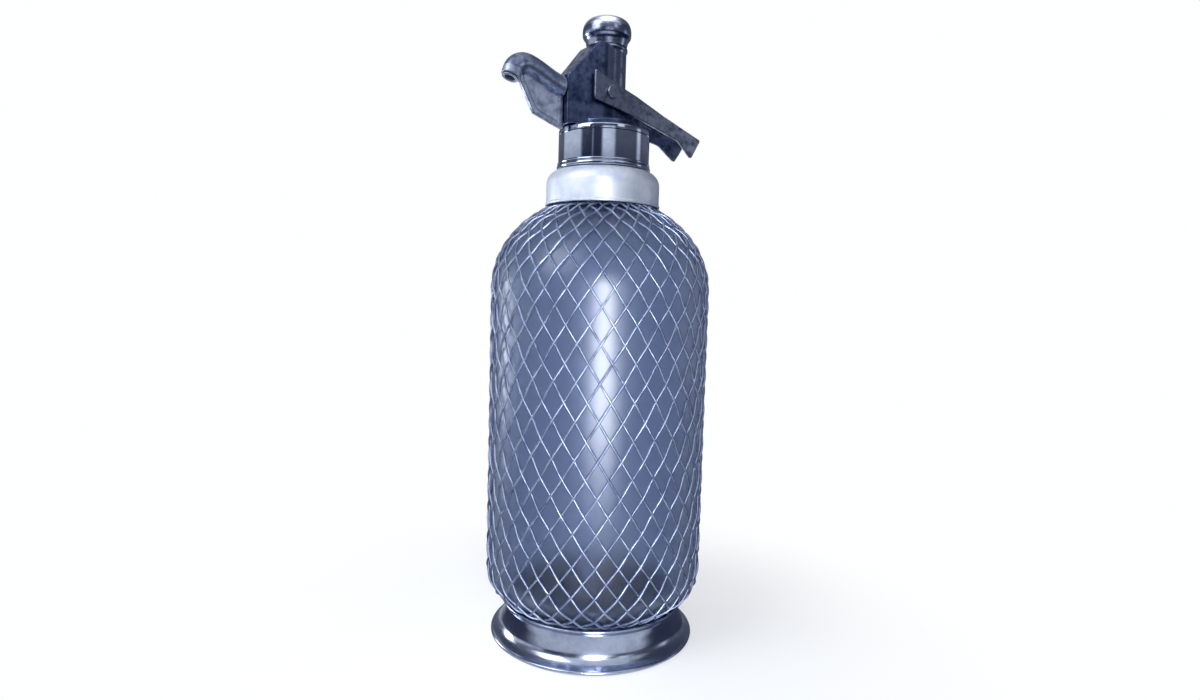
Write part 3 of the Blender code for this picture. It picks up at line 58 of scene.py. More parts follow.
general = {
    "seatGap": 0.3 * mm,       # gap between pieces that rest on each other
    "weldGap": 0.004 * mm,     # points closer than this are one point
    "overrun": 2.0 * mm,       # how far a cutter runs past the face it cuts
    "cornerShare": 0.45,       # the most of an edge that a rounded corner takes up
    "largeSides": 128,
    "mediumSides": 64,
    "smallSides": 32,
    "sharpAngle": math.radians(38),
}


def lowZ(node):
    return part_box(node)[0].z


def highZ(node):
    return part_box(node)[1].z


def farX(node):
    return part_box(node)[1].x


def addObject(name, data):
    thing = bpy.data.objects.new(name, data)
    bpy.context.scene.collection.objects.link(thing)
    return thing


def placeRound(angle, distance, height):
    # a place round the siphon's axis, at an angle to the right of its front
    return distance * math.sin(angle), -distance * math.cos(angle), height


# camera


camera = {
    "azimuth": math.radians(-35.0),
    "distance": 352.0 * mm,
    "height": 167.6 * mm,
    "pitch": math.radians(4.14),
    "turnRight": math.radians(0.14),
    "roll": math.radians(1.6),
    "lens": 21.15,
    "sensor": 36.0,
    "nearest": 1.0 * mm,
}


def makeCamera():
    data = bpy.data.cameras.new("camera")
    data.lens = camera["lens"]
    data.sensor_width = camera["sensor"]
    data.clip_start = camera["nearest"]
    viewer = addObject("camera", data)
    viewer.location = placeRound(camera["azimuth"], camera["distance"], camera["height"])
    heading = camera["azimuth"] - camera["turnRight"]
    level = math.cos(camera["pitch"])
    forward = Vector((-math.sin(heading) * level, math.cos(heading) * level, -math.sin(camera["pitch"])))
    viewer.rotation_mode = "QUATERNION"
    viewer.rotation_quaternion = forward.to_track_quat("-Z", "Y") @ Quaternion((0, 0, 1), camera["roll"])
    bpy.context.scene.camera = viewer


# node helpers


def addNode(tree, kind, inputs=None, **settings):
    node = tree.nodes.new(kind)
    for key, value in settings.items():
        setattr(node, key, value)
    for socket, value in (inputs or {}).items():
        if isinstance(value, bpy.types.NodeSocket):
            tree.links.new(value, node.inputs[socket])
        else:
            node.inputs[socket].default_value = value
    return node


def calc(tree, operation, *terms):
    return addNode(tree, "ShaderNodeMath", dict(enumerate(terms)), operation=operation).outputs[0]


def mixValues(tree, first, second, share):
    # a share of the first value and the rest of the second
    return calc(tree, "ADD", calc(tree, "MULTIPLY", first, share), calc(tree, "MULTIPLY", second, 1 - share))


def mapRange(tree, value, fromLow, fromHigh, toLow=0.0, toHigh=1.0, smooth=False):
    inputs = {"Value": value, "From Min": fromLow, "From Max": fromHigh, "To Min": toLow, "To Max": toHigh}
    kind = "SMOOTHSTEP" if smooth else "LINEAR"
    return addNode(tree, "ShaderNodeMapRange", inputs, interpolation_type=kind).outputs["Result"]


def mixColours(tree, share, first, second):
    # inputs 6 and 7 and output 2 are the mix node's colours
    return addNode(tree, "ShaderNodeMix", {0: share, 6: first, 7: second}, data_type="RGBA").outputs[2]


def noise(tree, place, scale, detail, roughness=0.5):
    inputs = {"Vector": place, "Scale": scale, "Detail": detail, "Roughness": roughness}
    return addNode(tree, "ShaderNodeTexNoise", inputs).outputs[0]


def objectPlace(tree):
    return addNode(tree, "ShaderNodeTexCoord").outputs["Object"]


def stretched(tree, place, scale):
    return addNode(tree, "ShaderNodeMapping", {"Vector": place, "Scale": scale}).outputs[0]


def addBump(tree, shader, height, strength, depth):
    bump = addNode(tree, "ShaderNodeBump", {"Height": height, "Strength": strength, "Distance": depth})
    tree.links.new(bump.outputs[0], shader.inputs["Normal"])


def newGroup(name, look):
    # a group with the sockets of a look, which puts out a colour, a roughness and a height
    tree = bpy.data.node_groups.new(name, "ShaderNodeTree")
    for label, value in look["sockets"].items():
        kind = "Color" if isinstance(value, tuple) else "Float"
        socket = tree.interface.new_socket(name=label, in_out="INPUT", socket_type="NodeSocket" + kind)
        socket.default_value = value
    for label, kind in (("Color", "Color"), ("Roughness", "Float"), ("Height", "Float")):
        tree.interface.new_socket(name=label, in_out="OUTPUT", socket_type="NodeSocket" + kind)
    return tree, addNode(tree, "NodeGroupInput").outputs, addNode(tree, "NodeGroupOutput").inputs


def newMaterial(name):
    material = bpy.data.materials.new(name)
    material.use_nodes = True
    tree = material.node_tree
    return material, tree, tree.nodes["Principled BSDF"]


# worn plating, with lightened edges that are partly rubbing and partly painted highlight, on everything that
# is metal


def plateLook(plate, rubbedSheen, grime, rubSheen, cloudScale, cloud, rough, bump):
    sockets = {"Plate": (*plate, 1), "Rubbed Sheen": (*rubbedSheen, 1), "Grime": (*grime, 1), "Rub Sheen": rubSheen,
               "Cloud Scale": cloudScale, "Cloud": cloud, "Rough Low": rough[0], "Rough High": rough[1]}
    return {"sockets": sockets, "bump": bump}


# the three colours are the plate's, its rubbed edges', which are lightened partly as painted highlight, and
# the grime's, which also goes into the darker hollows
plateLooks = {
    "nutChrome": plateLook((0.6, 0.66, 0.82), (0.9, 0.93, 1), (0.06, 0.08, 0.2),
                           rubSheen=0.5, cloudScale=130.0, cloud=0.25, rough=(0.05, 0.13), bump=0.03),
    "headPlate": plateLook((0.12, 0.155, 0.28), (0.5, 0.56, 0.72), (0.01, 0.02, 0.08),
                           rubSheen=0.75, cloudScale=260.0, cloud=0.85, rough=(0.26, 0.5), bump=0.25),
    "spoutPlate": plateLook((0.36, 0.42, 0.59), (0.62, 0.68, 0.84), (0.03, 0.05, 0.15),
                            rubSheen=0.6, cloudScale=240.0, cloud=0.8, rough=(0.34, 0.56), bump=0.25),
    # a lighter copy of the spout's plate: painted sheen on the fin, the mouth's rim and the nozzle tip
    "finSheenPlate": plateLook((0.6, 0.66, 0.82), (0.7, 0.76, 0.9), (0.1, 0.13, 0.28),
                          rubSheen=0.6, cloudScale=240.0, cloud=0.6, rough=(0.45, 0.65), bump=0.25),
    "leverPlate": plateLook((0.48, 0.54, 0.7), (0.62, 0.68, 0.84), (0.012, 0.022, 0.09),
                            rubSheen=0.8, cloudScale=250.0, cloud=0.8, rough=(0.28, 0.5), bump=0.22),
    # a lighter plate, painted highlight on the head's column and painted shade on the cap's waist
    "paintedShadingPlate": plateLook((0.42, 0.48, 0.66), (0.6, 0.66, 0.82), (0.02, 0.03, 0.11),
                             rubSheen=0.6, cloudScale=260.0, cloud=0.6, rough=(0.16, 0.34), bump=0.12),
    "capPlate": plateLook((0.74, 0.8, 0.92), (0.8, 0.85, 0.95), (0.05, 0.07, 0.2),
                          rubSheen=0.6, cloudScale=200.0, cloud=0.4, rough=(0.24, 0.4), bump=0.1),
    "footMetal": plateLook((0.52, 0.58, 0.74), (0.85, 0.9, 1), (0.05, 0.07, 0.18),
                           rubSheen=0.5, cloudScale=90.0, cloud=0.35, rough=(0.14, 0.28), bump=0.06),
    "netWire": plateLook((0.35, 0.41, 0.56), (0.7, 0.76, 0.9), (0.05, 0.07, 0.18),
                         rubSheen=0.0, cloudScale=160.0, cloud=0.75, rough=(0.45, 0.65), bump=0.05),
    "plainSteel": plateLook((0.6, 0.64, 0.74), (0.9, 0.93, 1), (0.08, 0.1, 0.22),
                            rubSheen=0.5, cloudScale=200.0, cloud=0.4, rough=(0.2, 0.42), bump=0.05),
    "turnedBrass": plateLook((0.66, 0.52, 0.3), (0.9, 0.78, 0.5), (0.2, 0.15, 0.1),
                             rubSheen=0.4, cloudScale=150.0, cloud=0.4, rough=(0.2, 0.42), bump=0.04),
}

wearAndSheen = {
    "cloudDetail": 5.0,
    "cloudRoughness": 0.62,
    "speckScale": 900.0,
    "speckDetail": 3.0,
    "streakScale": 2200.0,
    "streakDetail": 2.0,
    "streakStretch": (1.0, 1.0, 0.06),
    "edgeBreak": 0.05,         # how far the specks break up a lightened, rubbed edge
    "edge": (0.52, 0.6),       # pointiness, from a plain edge to a fully lightened one, part rubbed wear and part painted highlight
    "hollow": (0.485, 0.44),   # pointiness, from a plain hollow to one darkened fully towards the grime colour
    "haze": (0.42, 0.68),
    "hollowShare": 0.8,
    "hazeShare": 0.7,
    "cloudShare": 0.7,
}


def roughnessAt(tree, given, share):
    span = calc(tree, "SUBTRACT", given["Rough High"], given["Rough Low"])
    return calc(tree, "ADD", given["Rough Low"], calc(tree, "MULTIPLY", span, share))


def makeWornSheenPlate():
    # plating with lightened edges (part rubbed wear, part painted highlight), darker hollows, cloudy smudges
    # and fine scratches
    tree, given, result = newGroup("wornSheenPlate", plateLooks["nutChrome"])
    place = objectPlace(tree)
    cloud = noise(tree, place, given["Cloud Scale"], wearAndSheen["cloudDetail"], wearAndSheen["cloudRoughness"])
    speck = noise(tree, place, wearAndSheen["speckScale"], wearAndSheen["speckDetail"])
    streak = noise(tree, stretched(tree, place, wearAndSheen["streakStretch"]), wearAndSheen["streakScale"],
                   wearAndSheen["streakDetail"])
    bend = addNode(tree, "ShaderNodeNewGeometry").outputs["Pointiness"]
    broken = calc(tree, "MULTIPLY", calc(tree, "SUBTRACT", speck, 0.5), wearAndSheen["edgeBreak"])
    # edges are lightened: part rubbed plating, part painted highlight along rims
    edge = mapRange(tree, calc(tree, "ADD", bend, broken), *wearAndSheen["edge"])
    hollow = mapRange(tree, bend, *wearAndSheen["hollow"])
    haze = mapRange(tree, cloud, *wearAndSheen["haze"])
    dull = calc(tree, "MULTIPLY", haze, given["Cloud"])
    rubSheen = calc(tree, "MULTIPLY", edge, given["Rub Sheen"])
    # hollows are darkened towards the grime colour
    darkHollow = calc(tree, "MULTIPLY", hollow, wearAndSheen["hollowShare"])
    clean = mixColours(tree, dull, given["Plate"], given["Grime"])
    rubbedSheen = mixColours(tree, rubSheen, clean, given["Rubbed Sheen"])
    tree.links.new(mixColours(tree, darkHollow, rubbedSheen, given["Grime"]), result["Color"])
    mixed = mixValues(tree, haze, streak, wearAndSheen["hazeShare"])
    tree.links.new(roughnessAt(tree, given, mixed), result["Roughness"])
    tree.links.new(mixValues(tree, cloud, speck, wearAndSheen["cloudShare"]), result["Height"])
    return tree


# soft grain, on rubber, felt and plastic


def grainLook(light, dark, scale, rough, bump):
    sockets = {"Light": (*light, 1), "Dark": (*dark, 1), "Scale": scale, "Rough Low": rough[0],
               "Rough High": rough[1]}
    return {"sockets": sockets, "bump": bump}


grainLooks = {
    "blackRubber": grainLook((0.05, 0.05, 0.07), (0.02, 0.02, 0.03),
                             scale=1500.0, rough=(0.55, 0.75), bump=0.15),
    # a pale rubber colour that stands in for light, since little light reaches the cushion through the glass
    "litGreyRubber": grainLook((0.66, 0.72, 0.85), (0.5, 0.56, 0.7),
                            scale=1500.0, rough=(0.55, 0.75), bump=0.15),
    "darkFelt": grainLook((0.09, 0.11, 0.2), (0.03, 0.04, 0.09),
                          scale=2600.0, rough=(0.9, 1.0), bump=0.6),
    "milkyPlastic": grainLook((0.55, 0.6, 0.74), (0.44, 0.5, 0.66),
                              scale=400.0, rough=(0.3, 0.45), bump=0.03),
}

grain = {"fineDetail": 4.0, "wideScale": 60.0, "wideDetail": 3.0, "fineShare": 0.6, "shade": (0.35, 0.65)}


def makeSoftGrain():
    # a mottled grain
    tree, given, result = newGroup("softGrain", grainLooks["blackRubber"])
    place = objectPlace(tree)
    fine = noise(tree, place, given["Scale"], grain["fineDetail"])
    wide = noise(tree, place, grain["wideScale"], grain["wideDetail"])
    shade = mapRange(tree, mixValues(tree, fine, wide, grain["fineShare"]), *grain["shade"])
    tree.links.new(mixColours(tree, shade, given["Dark"], given["Light"]), result["Color"])
    tree.links.new(roughnessAt(tree, given, shade), result["Roughness"])
    tree.links.new(fine, result["Height"])
    return tree


# materials


bumpDepth = 0.2 * mm


def groupMaterial(name, effect, look, metallic):
    material, tree, shader = newMaterial(name)
    surface = addNode(tree, "ShaderNodeGroup", node_tree=effect)
    for label, value in look["sockets"].items():
        surface.inputs[label].default_value = value
    tree.links.new(surface.outputs["Color"], shader.inputs["Base Color"])
    tree.links.new(surface.outputs["Roughness"], shader.inputs["Roughness"])
    addBump(tree, shader, surface.outputs["Height"], look["bump"], bumpDepth)
    shader.inputs["Metallic"].default_value = metallic
    return material


satinCollar = {
    "light": (0.74, 0.79, 0.9, 1),
    "shade": (0.5, 0.57, 0.73, 1),
    "rough": (0.36, 0.48),
    "metallic": 0.55,
    "cloudScale": 110.0,
    "cloudDetail": 6.0,
    "cloudRoughness": 0.65,
    "shadeAt": (0.45, 0.75),   # cloud, from light to shade
    "roughAt": (0.35, 0.65),   # cloud, from smooth to rough
    "ringStretch": (0.04, 0.04, 1.0),
    "ringScale": 2600.0,
    "ringDetail": 2.0,
    "ringBump": 0.08,
    "ringDepth": 0.1 * mm,
}


def makeCollarMaterial():
    # pale satin lacquer with faint brushed rings and a little handling dirt
    material, tree, shader = newMaterial("satinCollar")
    place = objectPlace(tree)
    cloud = noise(tree, place, satinCollar["cloudScale"], satinCollar["cloudDetail"],
                  satinCollar["cloudRoughness"])
    rings = noise(tree, stretched(tree, place, satinCollar["ringStretch"]), satinCollar["ringScale"],
                  satinCollar["ringDetail"])
    shade = mapRange(tree, cloud, *satinCollar["shadeAt"])
    colour = mixColours(tree, shade, satinCollar["light"], satinCollar["shade"])
    tree.links.new(colour, shader.inputs["Base Color"])
    rough = mapRange(tree, cloud, *satinCollar["roughAt"], *satinCollar["rough"])
    tree.links.new(rough, shader.inputs["Roughness"])
    addBump(tree, shader, rings, satinCollar["ringBump"], satinCollar["ringDepth"])
    shader.inputs["Metallic"].default_value = satinCollar["metallic"]
    return material


bottleGlass = {
    "colour": (0.38, 0.45, 0.63, 1),
    "roughness": 0.3,
    "index": 1.5,
    "rippleScale": 38.0,
    "rippleDetail": 2.0,
    "rippleBump": 0.04,
    "rippleDepth": 2.0 * mm,
}


def makeGlassMaterial():
    # thick pressed glass with a slow ripple in its surface
    material, tree, shader = newMaterial("bottleGlass")
    ripple = noise(tree, objectPlace(tree), bottleGlass["rippleScale"], bottleGlass["rippleDetail"])
    addBump(tree, shader, ripple, bottleGlass["rippleBump"], bottleGlass["rippleDepth"])
    for label, key in (("Base Color", "colour"), ("Roughness", "roughness"), ("IOR", "index")):
        shader.inputs[label].default_value = bottleGlass[key]
    shader.inputs["Transmission Weight"].default_value = 1.0
    return material


# mesh helpers


def newPiece(name, bm, material=None, sharpAngle=general["sharpAngle"]):
    bmesh.ops.remove_doubles(bm, verts=bm.verts, dist=general["weldGap"])
    bm.normal_update()
    bmesh.ops.recalc_face_normals(bm, faces=bm.faces)
    mesh = bpy.data.meshes.new(name)
    bm.to_mesh(mesh)
    bm.free()
    if material:
        mesh.materials.append(material)
    mesh.shade_smooth()
    mesh.set_sharp_from_angle(angle=sharpAngle)
    return addObject(name, mesh)


def mount(piece, body, slot, *stoodFor):
    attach(piece, body)
    if stoodFor:
        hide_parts(*stoodFor)


def arcPoints(centre, across, start, end, steps, up=None):
    # part of a circle, or of an ellipse where up is given
    up = up or across
    angles = [start + (end - start) * step / steps for step in range(steps + 1)]
    return [(centre[0] + across * math.cos(a), centre[1] + up * math.sin(a)) for a in angles]


def softCorners(points, size, steps=4, closed=True):
    # rounds each corner of an outline, by no more than its edges allow
    result = []
    for index, point in enumerate(points):
        corner = Vector(point)
        before, after = Vector(points[index - 1]), Vector(points[(index + 1) % len(points)])
        if not closed and index in (0, len(points) - 1):
            result.append(tuple(corner))
            continue
        room = general["cornerShare"]
        cut = min(size, (before - corner).length * room, (after - corner).length * room)
        start = corner + (before - corner).normalized() * cut
        end = corner + (after - corner).normalized() * cut
        for step in range(steps + 1):
            share = step / steps
            result.append(tuple(start.lerp(corner, share).lerp(corner.lerp(end, share), share)))
    return result


def flowingCurve(points, steps):
    # smooth curve through all the points
    result = []
    padded = [points[0]] + list(points) + [points[-1]]
    for index in range(1, len(padded) - 2):
        a, b, c, d = (Vector(padded[index + shift]) for shift in (-1, 0, 1, 2))
        for step in range(steps):
            t = step / steps
            result.append(tuple(0.5 * (2 * b + (c - a) * t + (2 * a - 5 * b + 4 * c - d) * t * t
                                       + (3 * b - a - 3 * c + d) * t ** 3)))
    return result + [tuple(points[-1])]


def turnedPiece(name, profile, sides, material=None, centre=(0.0, 0.0), sharpAngle=general["sharpAngle"]):
    onAxis = abs(profile[0][0]) < general["weldGap"] and abs(profile[-1][0]) < general["weldGap"]
    bm = bmesh.new()
    points = [bm.verts.new((radius, 0.0, height)) for radius, height in profile]
    edges = [bm.edges.new(pair) for pair in zip(points, points[1:])]
    if not onAxis:
        edges.append(bm.edges.new((points[-1], points[0])))
    bmesh.ops.spin(bm, geom=points + edges, cent=(0, 0, 0), axis=(0, 0, 1), angle=fullTurn, steps=sides,
                   use_merge=True)
    bmesh.ops.translate(bm, verts=bm.verts, vec=(*centre, 0.0))
    return newPiece(name, bm, material, sharpAngle)


def turnedAcross(name, profile, material, centre):
    # a turned piece whose axis lies along Y
    piece = turnedPiece(name, profile, general["smallSides"], material)
    place = Matrix.Translation((centre[0], 0.0, centre[1]))
    piece.data.transform(place @ Matrix.Rotation(-quarterTurn, 4, "X"))
    return piece


def prism(name, corners, travel):
    bm = bmesh.new()
    face = bm.faces.new([bm.verts.new(corner) for corner in corners])
    moved = [item for item in bmesh.ops.extrude_face_region(bm, geom=[face])["geom"]
             if isinstance(item, bmesh.types.BMVert)]
    bmesh.ops.translate(bm, verts=moved, vec=travel)
    return newPiece(name, bm)


def sidePrism(name, outline, low, high):
    # an outline in X and Z, from one Y to another
    return prism(name, [(x, low, z) for x, z in outline], (0, high - low, 0))


def planPrism(name, outline, low, high):
    # an outline in X and Y, from one height to another
    return prism(name, [(x, y, low) for x, y in outline], (0, 0, high - low))


def barBetween(name, start, end, radius):
    start, end = Vector(start), Vector(end)
    bm = bmesh.new()
    bmesh.ops.create_cone(bm, cap_ends=True, segments=general["smallSides"], radius1=radius, radius2=radius,
                          depth=(end - start).length)
    turn = (end - start).to_track_quat("Z", "Y").to_matrix().to_4x4()
    bm.transform(Matrix.Translation((start + end) / 2) @ turn)
    return newPiece(name, bm)


def sweptBar(name, points, directions, acrosses, radii, sides, material=None):
    bm = bmesh.new()
    rings = []
    angles = [fullTurn * step / sides for step in range(sides)]
    for point, direction, across, radius in zip(points, directions, acrosses, radii):
        up = direction.cross(across)
        rings.append([bm.verts.new(point + across * radius * math.cos(a) + up * radius * math.sin(a))
                      for a in angles])
    for low, high in zip(rings, rings[1:]):
        for index in range(sides):
            bm.faces.new([low[index], low[index - 1], high[index - 1], high[index]])
    bm.faces.new(rings[0])
    bm.faces.new(rings[-1])
    return newPiece(name, bm, material)


def plainMesh(piece):
    # applies what is on the piece and leaves a plain mesh
    bpy.context.view_layer.update()
    evaluated = piece.evaluated_get(bpy.context.evaluated_depsgraph_get())
    mesh = bpy.data.meshes.new_from_object(evaluated)
    piece.modifiers.clear()
    piece.data = mesh


def combine(piece, tool, operation):
    modifier = piece.modifiers.new("shape", "BOOLEAN")
    modifier.operation = operation
    modifier.object = tool
    modifier.solver = "EXACT"
    plainMesh(piece)
    bpy.data.objects.remove(tool, do_unlink=True)


def castSurface(piece, voxel, rounds, *materials):
    # gives a piece built of plain shapes the soft edges and fillets of a casting
    remesh = piece.modifiers.new("skin", "REMESH")
    remesh.mode = "VOXEL"
    remesh.voxel_size = voxel
    smooth = piece.modifiers.new("soften", "SMOOTH")
    smooth.iterations = rounds
    plainMesh(piece)
    piece.data.materials.clear()
    for material in materials:
        piece.data.materials.append(material)
    piece.data.shade_smooth()


# bottle


bottle = {
    "wall": 4.0 * mm,
    "baseDepth": 24.5 * mm,
    "basePower": 2.4,
    "straight": 136.0 * mm,
    "shoulderRise": 44.2 * mm,
    "neckRadius": 16.1 * mm,
    "boreRadius": 12.5 * mm,
    "neckFillet": 6.0 * mm,
    "lipRadius": 18.5 * mm,
    "lipHeight": 6.4 * mm,
    "lipRound": 1.2 * mm,
    "steps": 28,
    "filletSteps": 8,
    "sharpAngle": math.radians(60),
}


def bottleBase(stand, steps):
    # from the widest place down to the axis, as part of a squared-off ellipse
    power = 2 / bottle["basePower"]
    radius = farX("glass_bottle") + stand
    depth = bottle["baseDepth"] + stand
    level = lowZ("glass_bottle") + bottle["baseDepth"]
    points = []
    for step in range(steps + 1):
        angle = quarterTurn * step / steps
        across = math.cos(angle) ** power if step < steps else 0.0
        points.append((radius * across, level - depth * math.sin(angle) ** power))
    return points


def bottleShoulder(stand, stopRadius, steps):
    radius = farX("glass_bottle") + stand
    level = lowZ("glass_bottle") + bottle["baseDepth"] + bottle["straight"]
    stop = math.acos(stopRadius / radius)
    return arcPoints((0.0, level), radius, 0.0, stop, steps, up=bottle["shoulderRise"] + stand)


def neckFillet(shoulder, fillet):
    # runs on from a shoulder, and turns upwards
    radius, level = shoulder[-1]
    curve = arcPoints((radius, level + fillet), fillet, -quarterTurn, -2 * quarterTurn, bottle["filletSteps"])
    return curve[1:]


def makeBottle(material):
    steps = bottle["steps"]
    lipTop = highZ("glass_bottle")
    lipLow = lipTop - bottle["lipHeight"]
    joinRadius = bottle["neckRadius"] + bottle["neckFillet"]
    wall, lipRound = bottle["wall"], bottle["lipRound"]
    shoulder = bottleShoulder(0.0, joinRadius, steps)
    innerShoulder = bottleShoulder(-wall, joinRadius, steps)
    neck, bore, lipRadius = bottle["neckRadius"], bottle["boreRadius"], bottle["lipRadius"]
    lip = softCorners([(neck, lipLow - 2 * lipRound), (neck, lipLow - lipRound), (lipRadius, lipLow),
                       (lipRadius, lipTop), (bore, lipTop), (bore, lipLow)], lipRound, closed=False)
    outside = bottleBase(0.0, steps)[::-1] + shoulder + neckFillet(shoulder, bottle["neckFillet"]) + lip
    inside = bottleBase(-wall, steps)[::-1] + innerShoulder + neckFillet(innerShoulder, joinRadius - bore)
    piece = turnedPiece("bottleGlass", outside + inside[::-1], general["largeSides"], material,
                        sharpAngle=bottle["sharpAngle"])
    mount(piece, "bottle", "bottle_glass", "glass_bottle")


# wire net


net = {
    "wires": 32,           # wires of each slant
    "rows": 29,            # rows of crossings
    "wireRadius": 0.55 * mm,
    "weave": 0.7,          # how far a wire swings at a crossing, as a share of its radius
    "stepsPerRow": 5,
    "sides": 6,
    "crowding": 0.3,       # how much the meshes close up towards both ends
    "hemRadius": 0.55 * mm,
    "hemSides": 10,
    "lowRadius": 41.0 * mm,
    "highRadius": 24.4 * mm,
    "baseSteps": 120,
    "shoulderSteps": 80,
}


def netProfile():
    # the middle of the net as (radius, height), from inside the foot to under the collar
    stand = farX("wire_net") - (1 + net["weave"]) * net["wireRadius"] - farX("glass_bottle")
    base = [point for point in bottleBase(stand, net["baseSteps"]) if point[0] >= net["lowRadius"]]
    return base[::-1] + bottleShoulder(stand, net["highRadius"], net["shoulderSteps"])


def makeNetTree():
    # wires of both slants on a turned profile, each passing over and under the others
    tree = bpy.data.node_groups.new("wovenNet", "GeometryNodeTree")
    sockets = (("Profile", "Object"), ("Wires", "Int"), ("Rows", "Int"), ("Steps", "Int"), ("Sides", "Int"),
               ("Wire Radius", "Float"), ("Weave", "Float"), ("Crowding", "Float"), ("Material", "Material"))
    for label, kind in sockets:
        tree.interface.new_socket(name=label, in_out="INPUT", socket_type="NodeSocket" + kind)
    tree.interface.new_socket(name="Geometry", in_out="OUTPUT", socket_type="NodeSocketGeometry")
    given = addNode(tree, "NodeGroupInput").outputs
    operations = ("ADD", "SUBTRACT", "MULTIPLY", "DIVIDE")
    add, subtract, multiply, divide = (partial(calc, tree, operation) for operation in operations)
    slants = multiply(given["Wires"], 2.0)
    places = addNode(tree, "GeometryNodeMeshLine", {"Count": slants, "Offset": (0.0, 0.0, 0.0)}).outputs[0]
    count = add(multiply(given["Rows"], given["Steps"]), 1.0)
    line = addNode(tree, "GeometryNodeCurvePrimitiveLine", {"End": (0.0, 0.0, 1.0)}).outputs[0]
    fine = addNode(tree, "GeometryNodeResampleCurve", {"Curve": line, "Count": count}).outputs[0]
    wires = addNode(tree, "GeometryNodeInstanceOnPoints", {"Points": places, "Instance": fine}).outputs[0]
    loose = addNode(tree, "GeometryNodeRealizeInstances", {"Geometry": wires}).outputs[0]
    # which wire a point is on, which way that wire slants (1 or -1), and its number among its slant's wires
    index = addNode(tree, "GeometryNodeInputIndex").outputs[0]
    wire = calc(tree, "FLOOR", divide(add(index, 0.5), count))
    slant = subtract(multiply(calc(tree, "MODULO", wire, 2.0), 2.0), 1.0)
    number = calc(tree, "FLOOR", divide(wire, 2.0))
    # how far along the profile it is, with the meshes closing up towards both ends
    share = addNode(tree, "GeometryNodeSplineParameter").outputs["Factor"]
    crowded = divide(subtract(1.0, calc(tree, "COSINE", multiply(share, math.pi))), 2.0)
    level = add(share, multiply(subtract(crowded, share), given["Crowding"]))
    profile = addNode(tree, "GeometryNodeObjectInfo", {"Object": given["Profile"]}).outputs["Geometry"]
    sample = addNode(tree, "GeometryNodeSampleCurve", {"Curves": profile, "Factor": level}, mode="FACTOR")
    spot = addNode(tree, "ShaderNodeSeparateXYZ", {0: sample.outputs["Position"]}).outputs
    along = addNode(tree, "ShaderNodeSeparateXYZ", {0: sample.outputs["Tangent"]}).outputs
    # it swings out and in at every crossing
    turns = multiply(multiply(given["Rows"], share), math.pi)
    swing = multiply(given["Wire Radius"], given["Weave"])
    weave = multiply(multiply(calc(tree, "COSINE", turns), slant), swing)
    radius = add(spot[0], multiply(weave, along[2]))
    height = subtract(spot[2], multiply(weave, along[0]))
    begun = divide(multiply(number, fullTurn), given["Wires"])
    angle = add(begun, divide(multiply(turns, slant), given["Wires"]))
    x, y = (multiply(radius, calc(tree, part, angle)) for part in ("COSINE", "SINE"))
    point = addNode(tree, "ShaderNodeCombineXYZ", {0: x, 1: y, 2: height}).outputs[0]
    laid = addNode(tree, "GeometryNodeSetPosition", {"Geometry": loose, "Position": point}).outputs[0]
    circle = {"Resolution": given["Sides"], "Radius": given["Wire Radius"]}
    ring = addNode(tree, "GeometryNodeCurvePrimitiveCircle", circle).outputs[0]
    swept = {"Curve": laid, "Profile Curve": ring, "Fill Caps": True}
    shape = addNode(tree, "GeometryNodeCurveToMesh", swept).outputs[0]
    for kind, settings in (("SetShadeSmooth", {"Shade Smooth": True}), ("RealizeInstances", {}),
                           ("SetMaterial", {"Material": given["Material"]})):
        shape = addNode(tree, "GeometryNode" + kind, {"Geometry": shape, **settings}).outputs[0]
    addNode(tree, "NodeGroupOutput", {"Geometry": shape})
    return tree


def makeNet(material):
    profile = netProfile()
    curve = bpy.data.curves.new("netProfile", "CURVE")
    curve.dimensions = "3D"
    spline = curve.splines.new("POLY")
    spline.points.add(len(profile) - 1)
    for point, (radius, height) in zip(spline.points, profile):
        point.co = (radius, 0.0, height, 1.0)
    guide = addObject("netProfile", curve)
    tree = makeNetTree()
    piece = addObject("wireNet", bpy.data.meshes.new("wireNet"))
    modifier = piece.modifiers.new("weave", "NODES")
    modifier.node_group = tree
    values = {"Profile": guide, "Wires": net["wires"], "Rows": net["rows"], "Steps": net["stepsPerRow"],
              "Sides": net["sides"], "Wire Radius": net["wireRadius"], "Weave": net["weave"],
              "Crowding": net["crowding"], "Material": material}
    for item in tree.interface.items_tree:
        if item.in_out == "INPUT":
            modifier[item.identifier] = values[item.name]
    plainMesh(piece)
    bpy.data.objects.remove(guide, do_unlink=True)
    mount(piece, "bottle", "net_wire", "wire_net")
    for name, (radius, height) in (("netHemLow", profile[0]), ("netHemHigh", profile[-1])):
        ring = arcPoints((radius, height), net["hemRadius"], 0.0, fullTurn, net["hemSides"])[:-1]
        mount(turnedPiece(name, ring, general["mediumSides"], material), "bottle", "net_wire")


# foot


foot = {
    "wall": 1.1 * mm,
    "flare": 6.4 * mm,
    "lipStand": 1.2 * mm,
    "rimWidth": 7.5 * mm,
    # shares of the height and of the flare, from top to bottom
    "flareShares": ((0.85, 0.0), (0.72, -0.04), (0.58, 0.0), (0.46, 0.05), (0.36, 0.12), (0.28, 0.24),
                    (0.21, 0.42), (0.16, 0.64), (0.125, 0.84)),
    "flareSteps": 4,
    "floor": 1.2 * mm,
    "beadRadius": 0.95 * mm,
    "beadShare": 0.75,         # how far the bead turns above its middle, as a share of a quarter turn
    "rollShare": 0.6,          # the same for the rolled top, below its middle
    "edgeSteps": 8,
    "padRound": 0.4 * mm,
    "cushionHole": 14.0 * mm,
    "cushionSteps": 60,
}


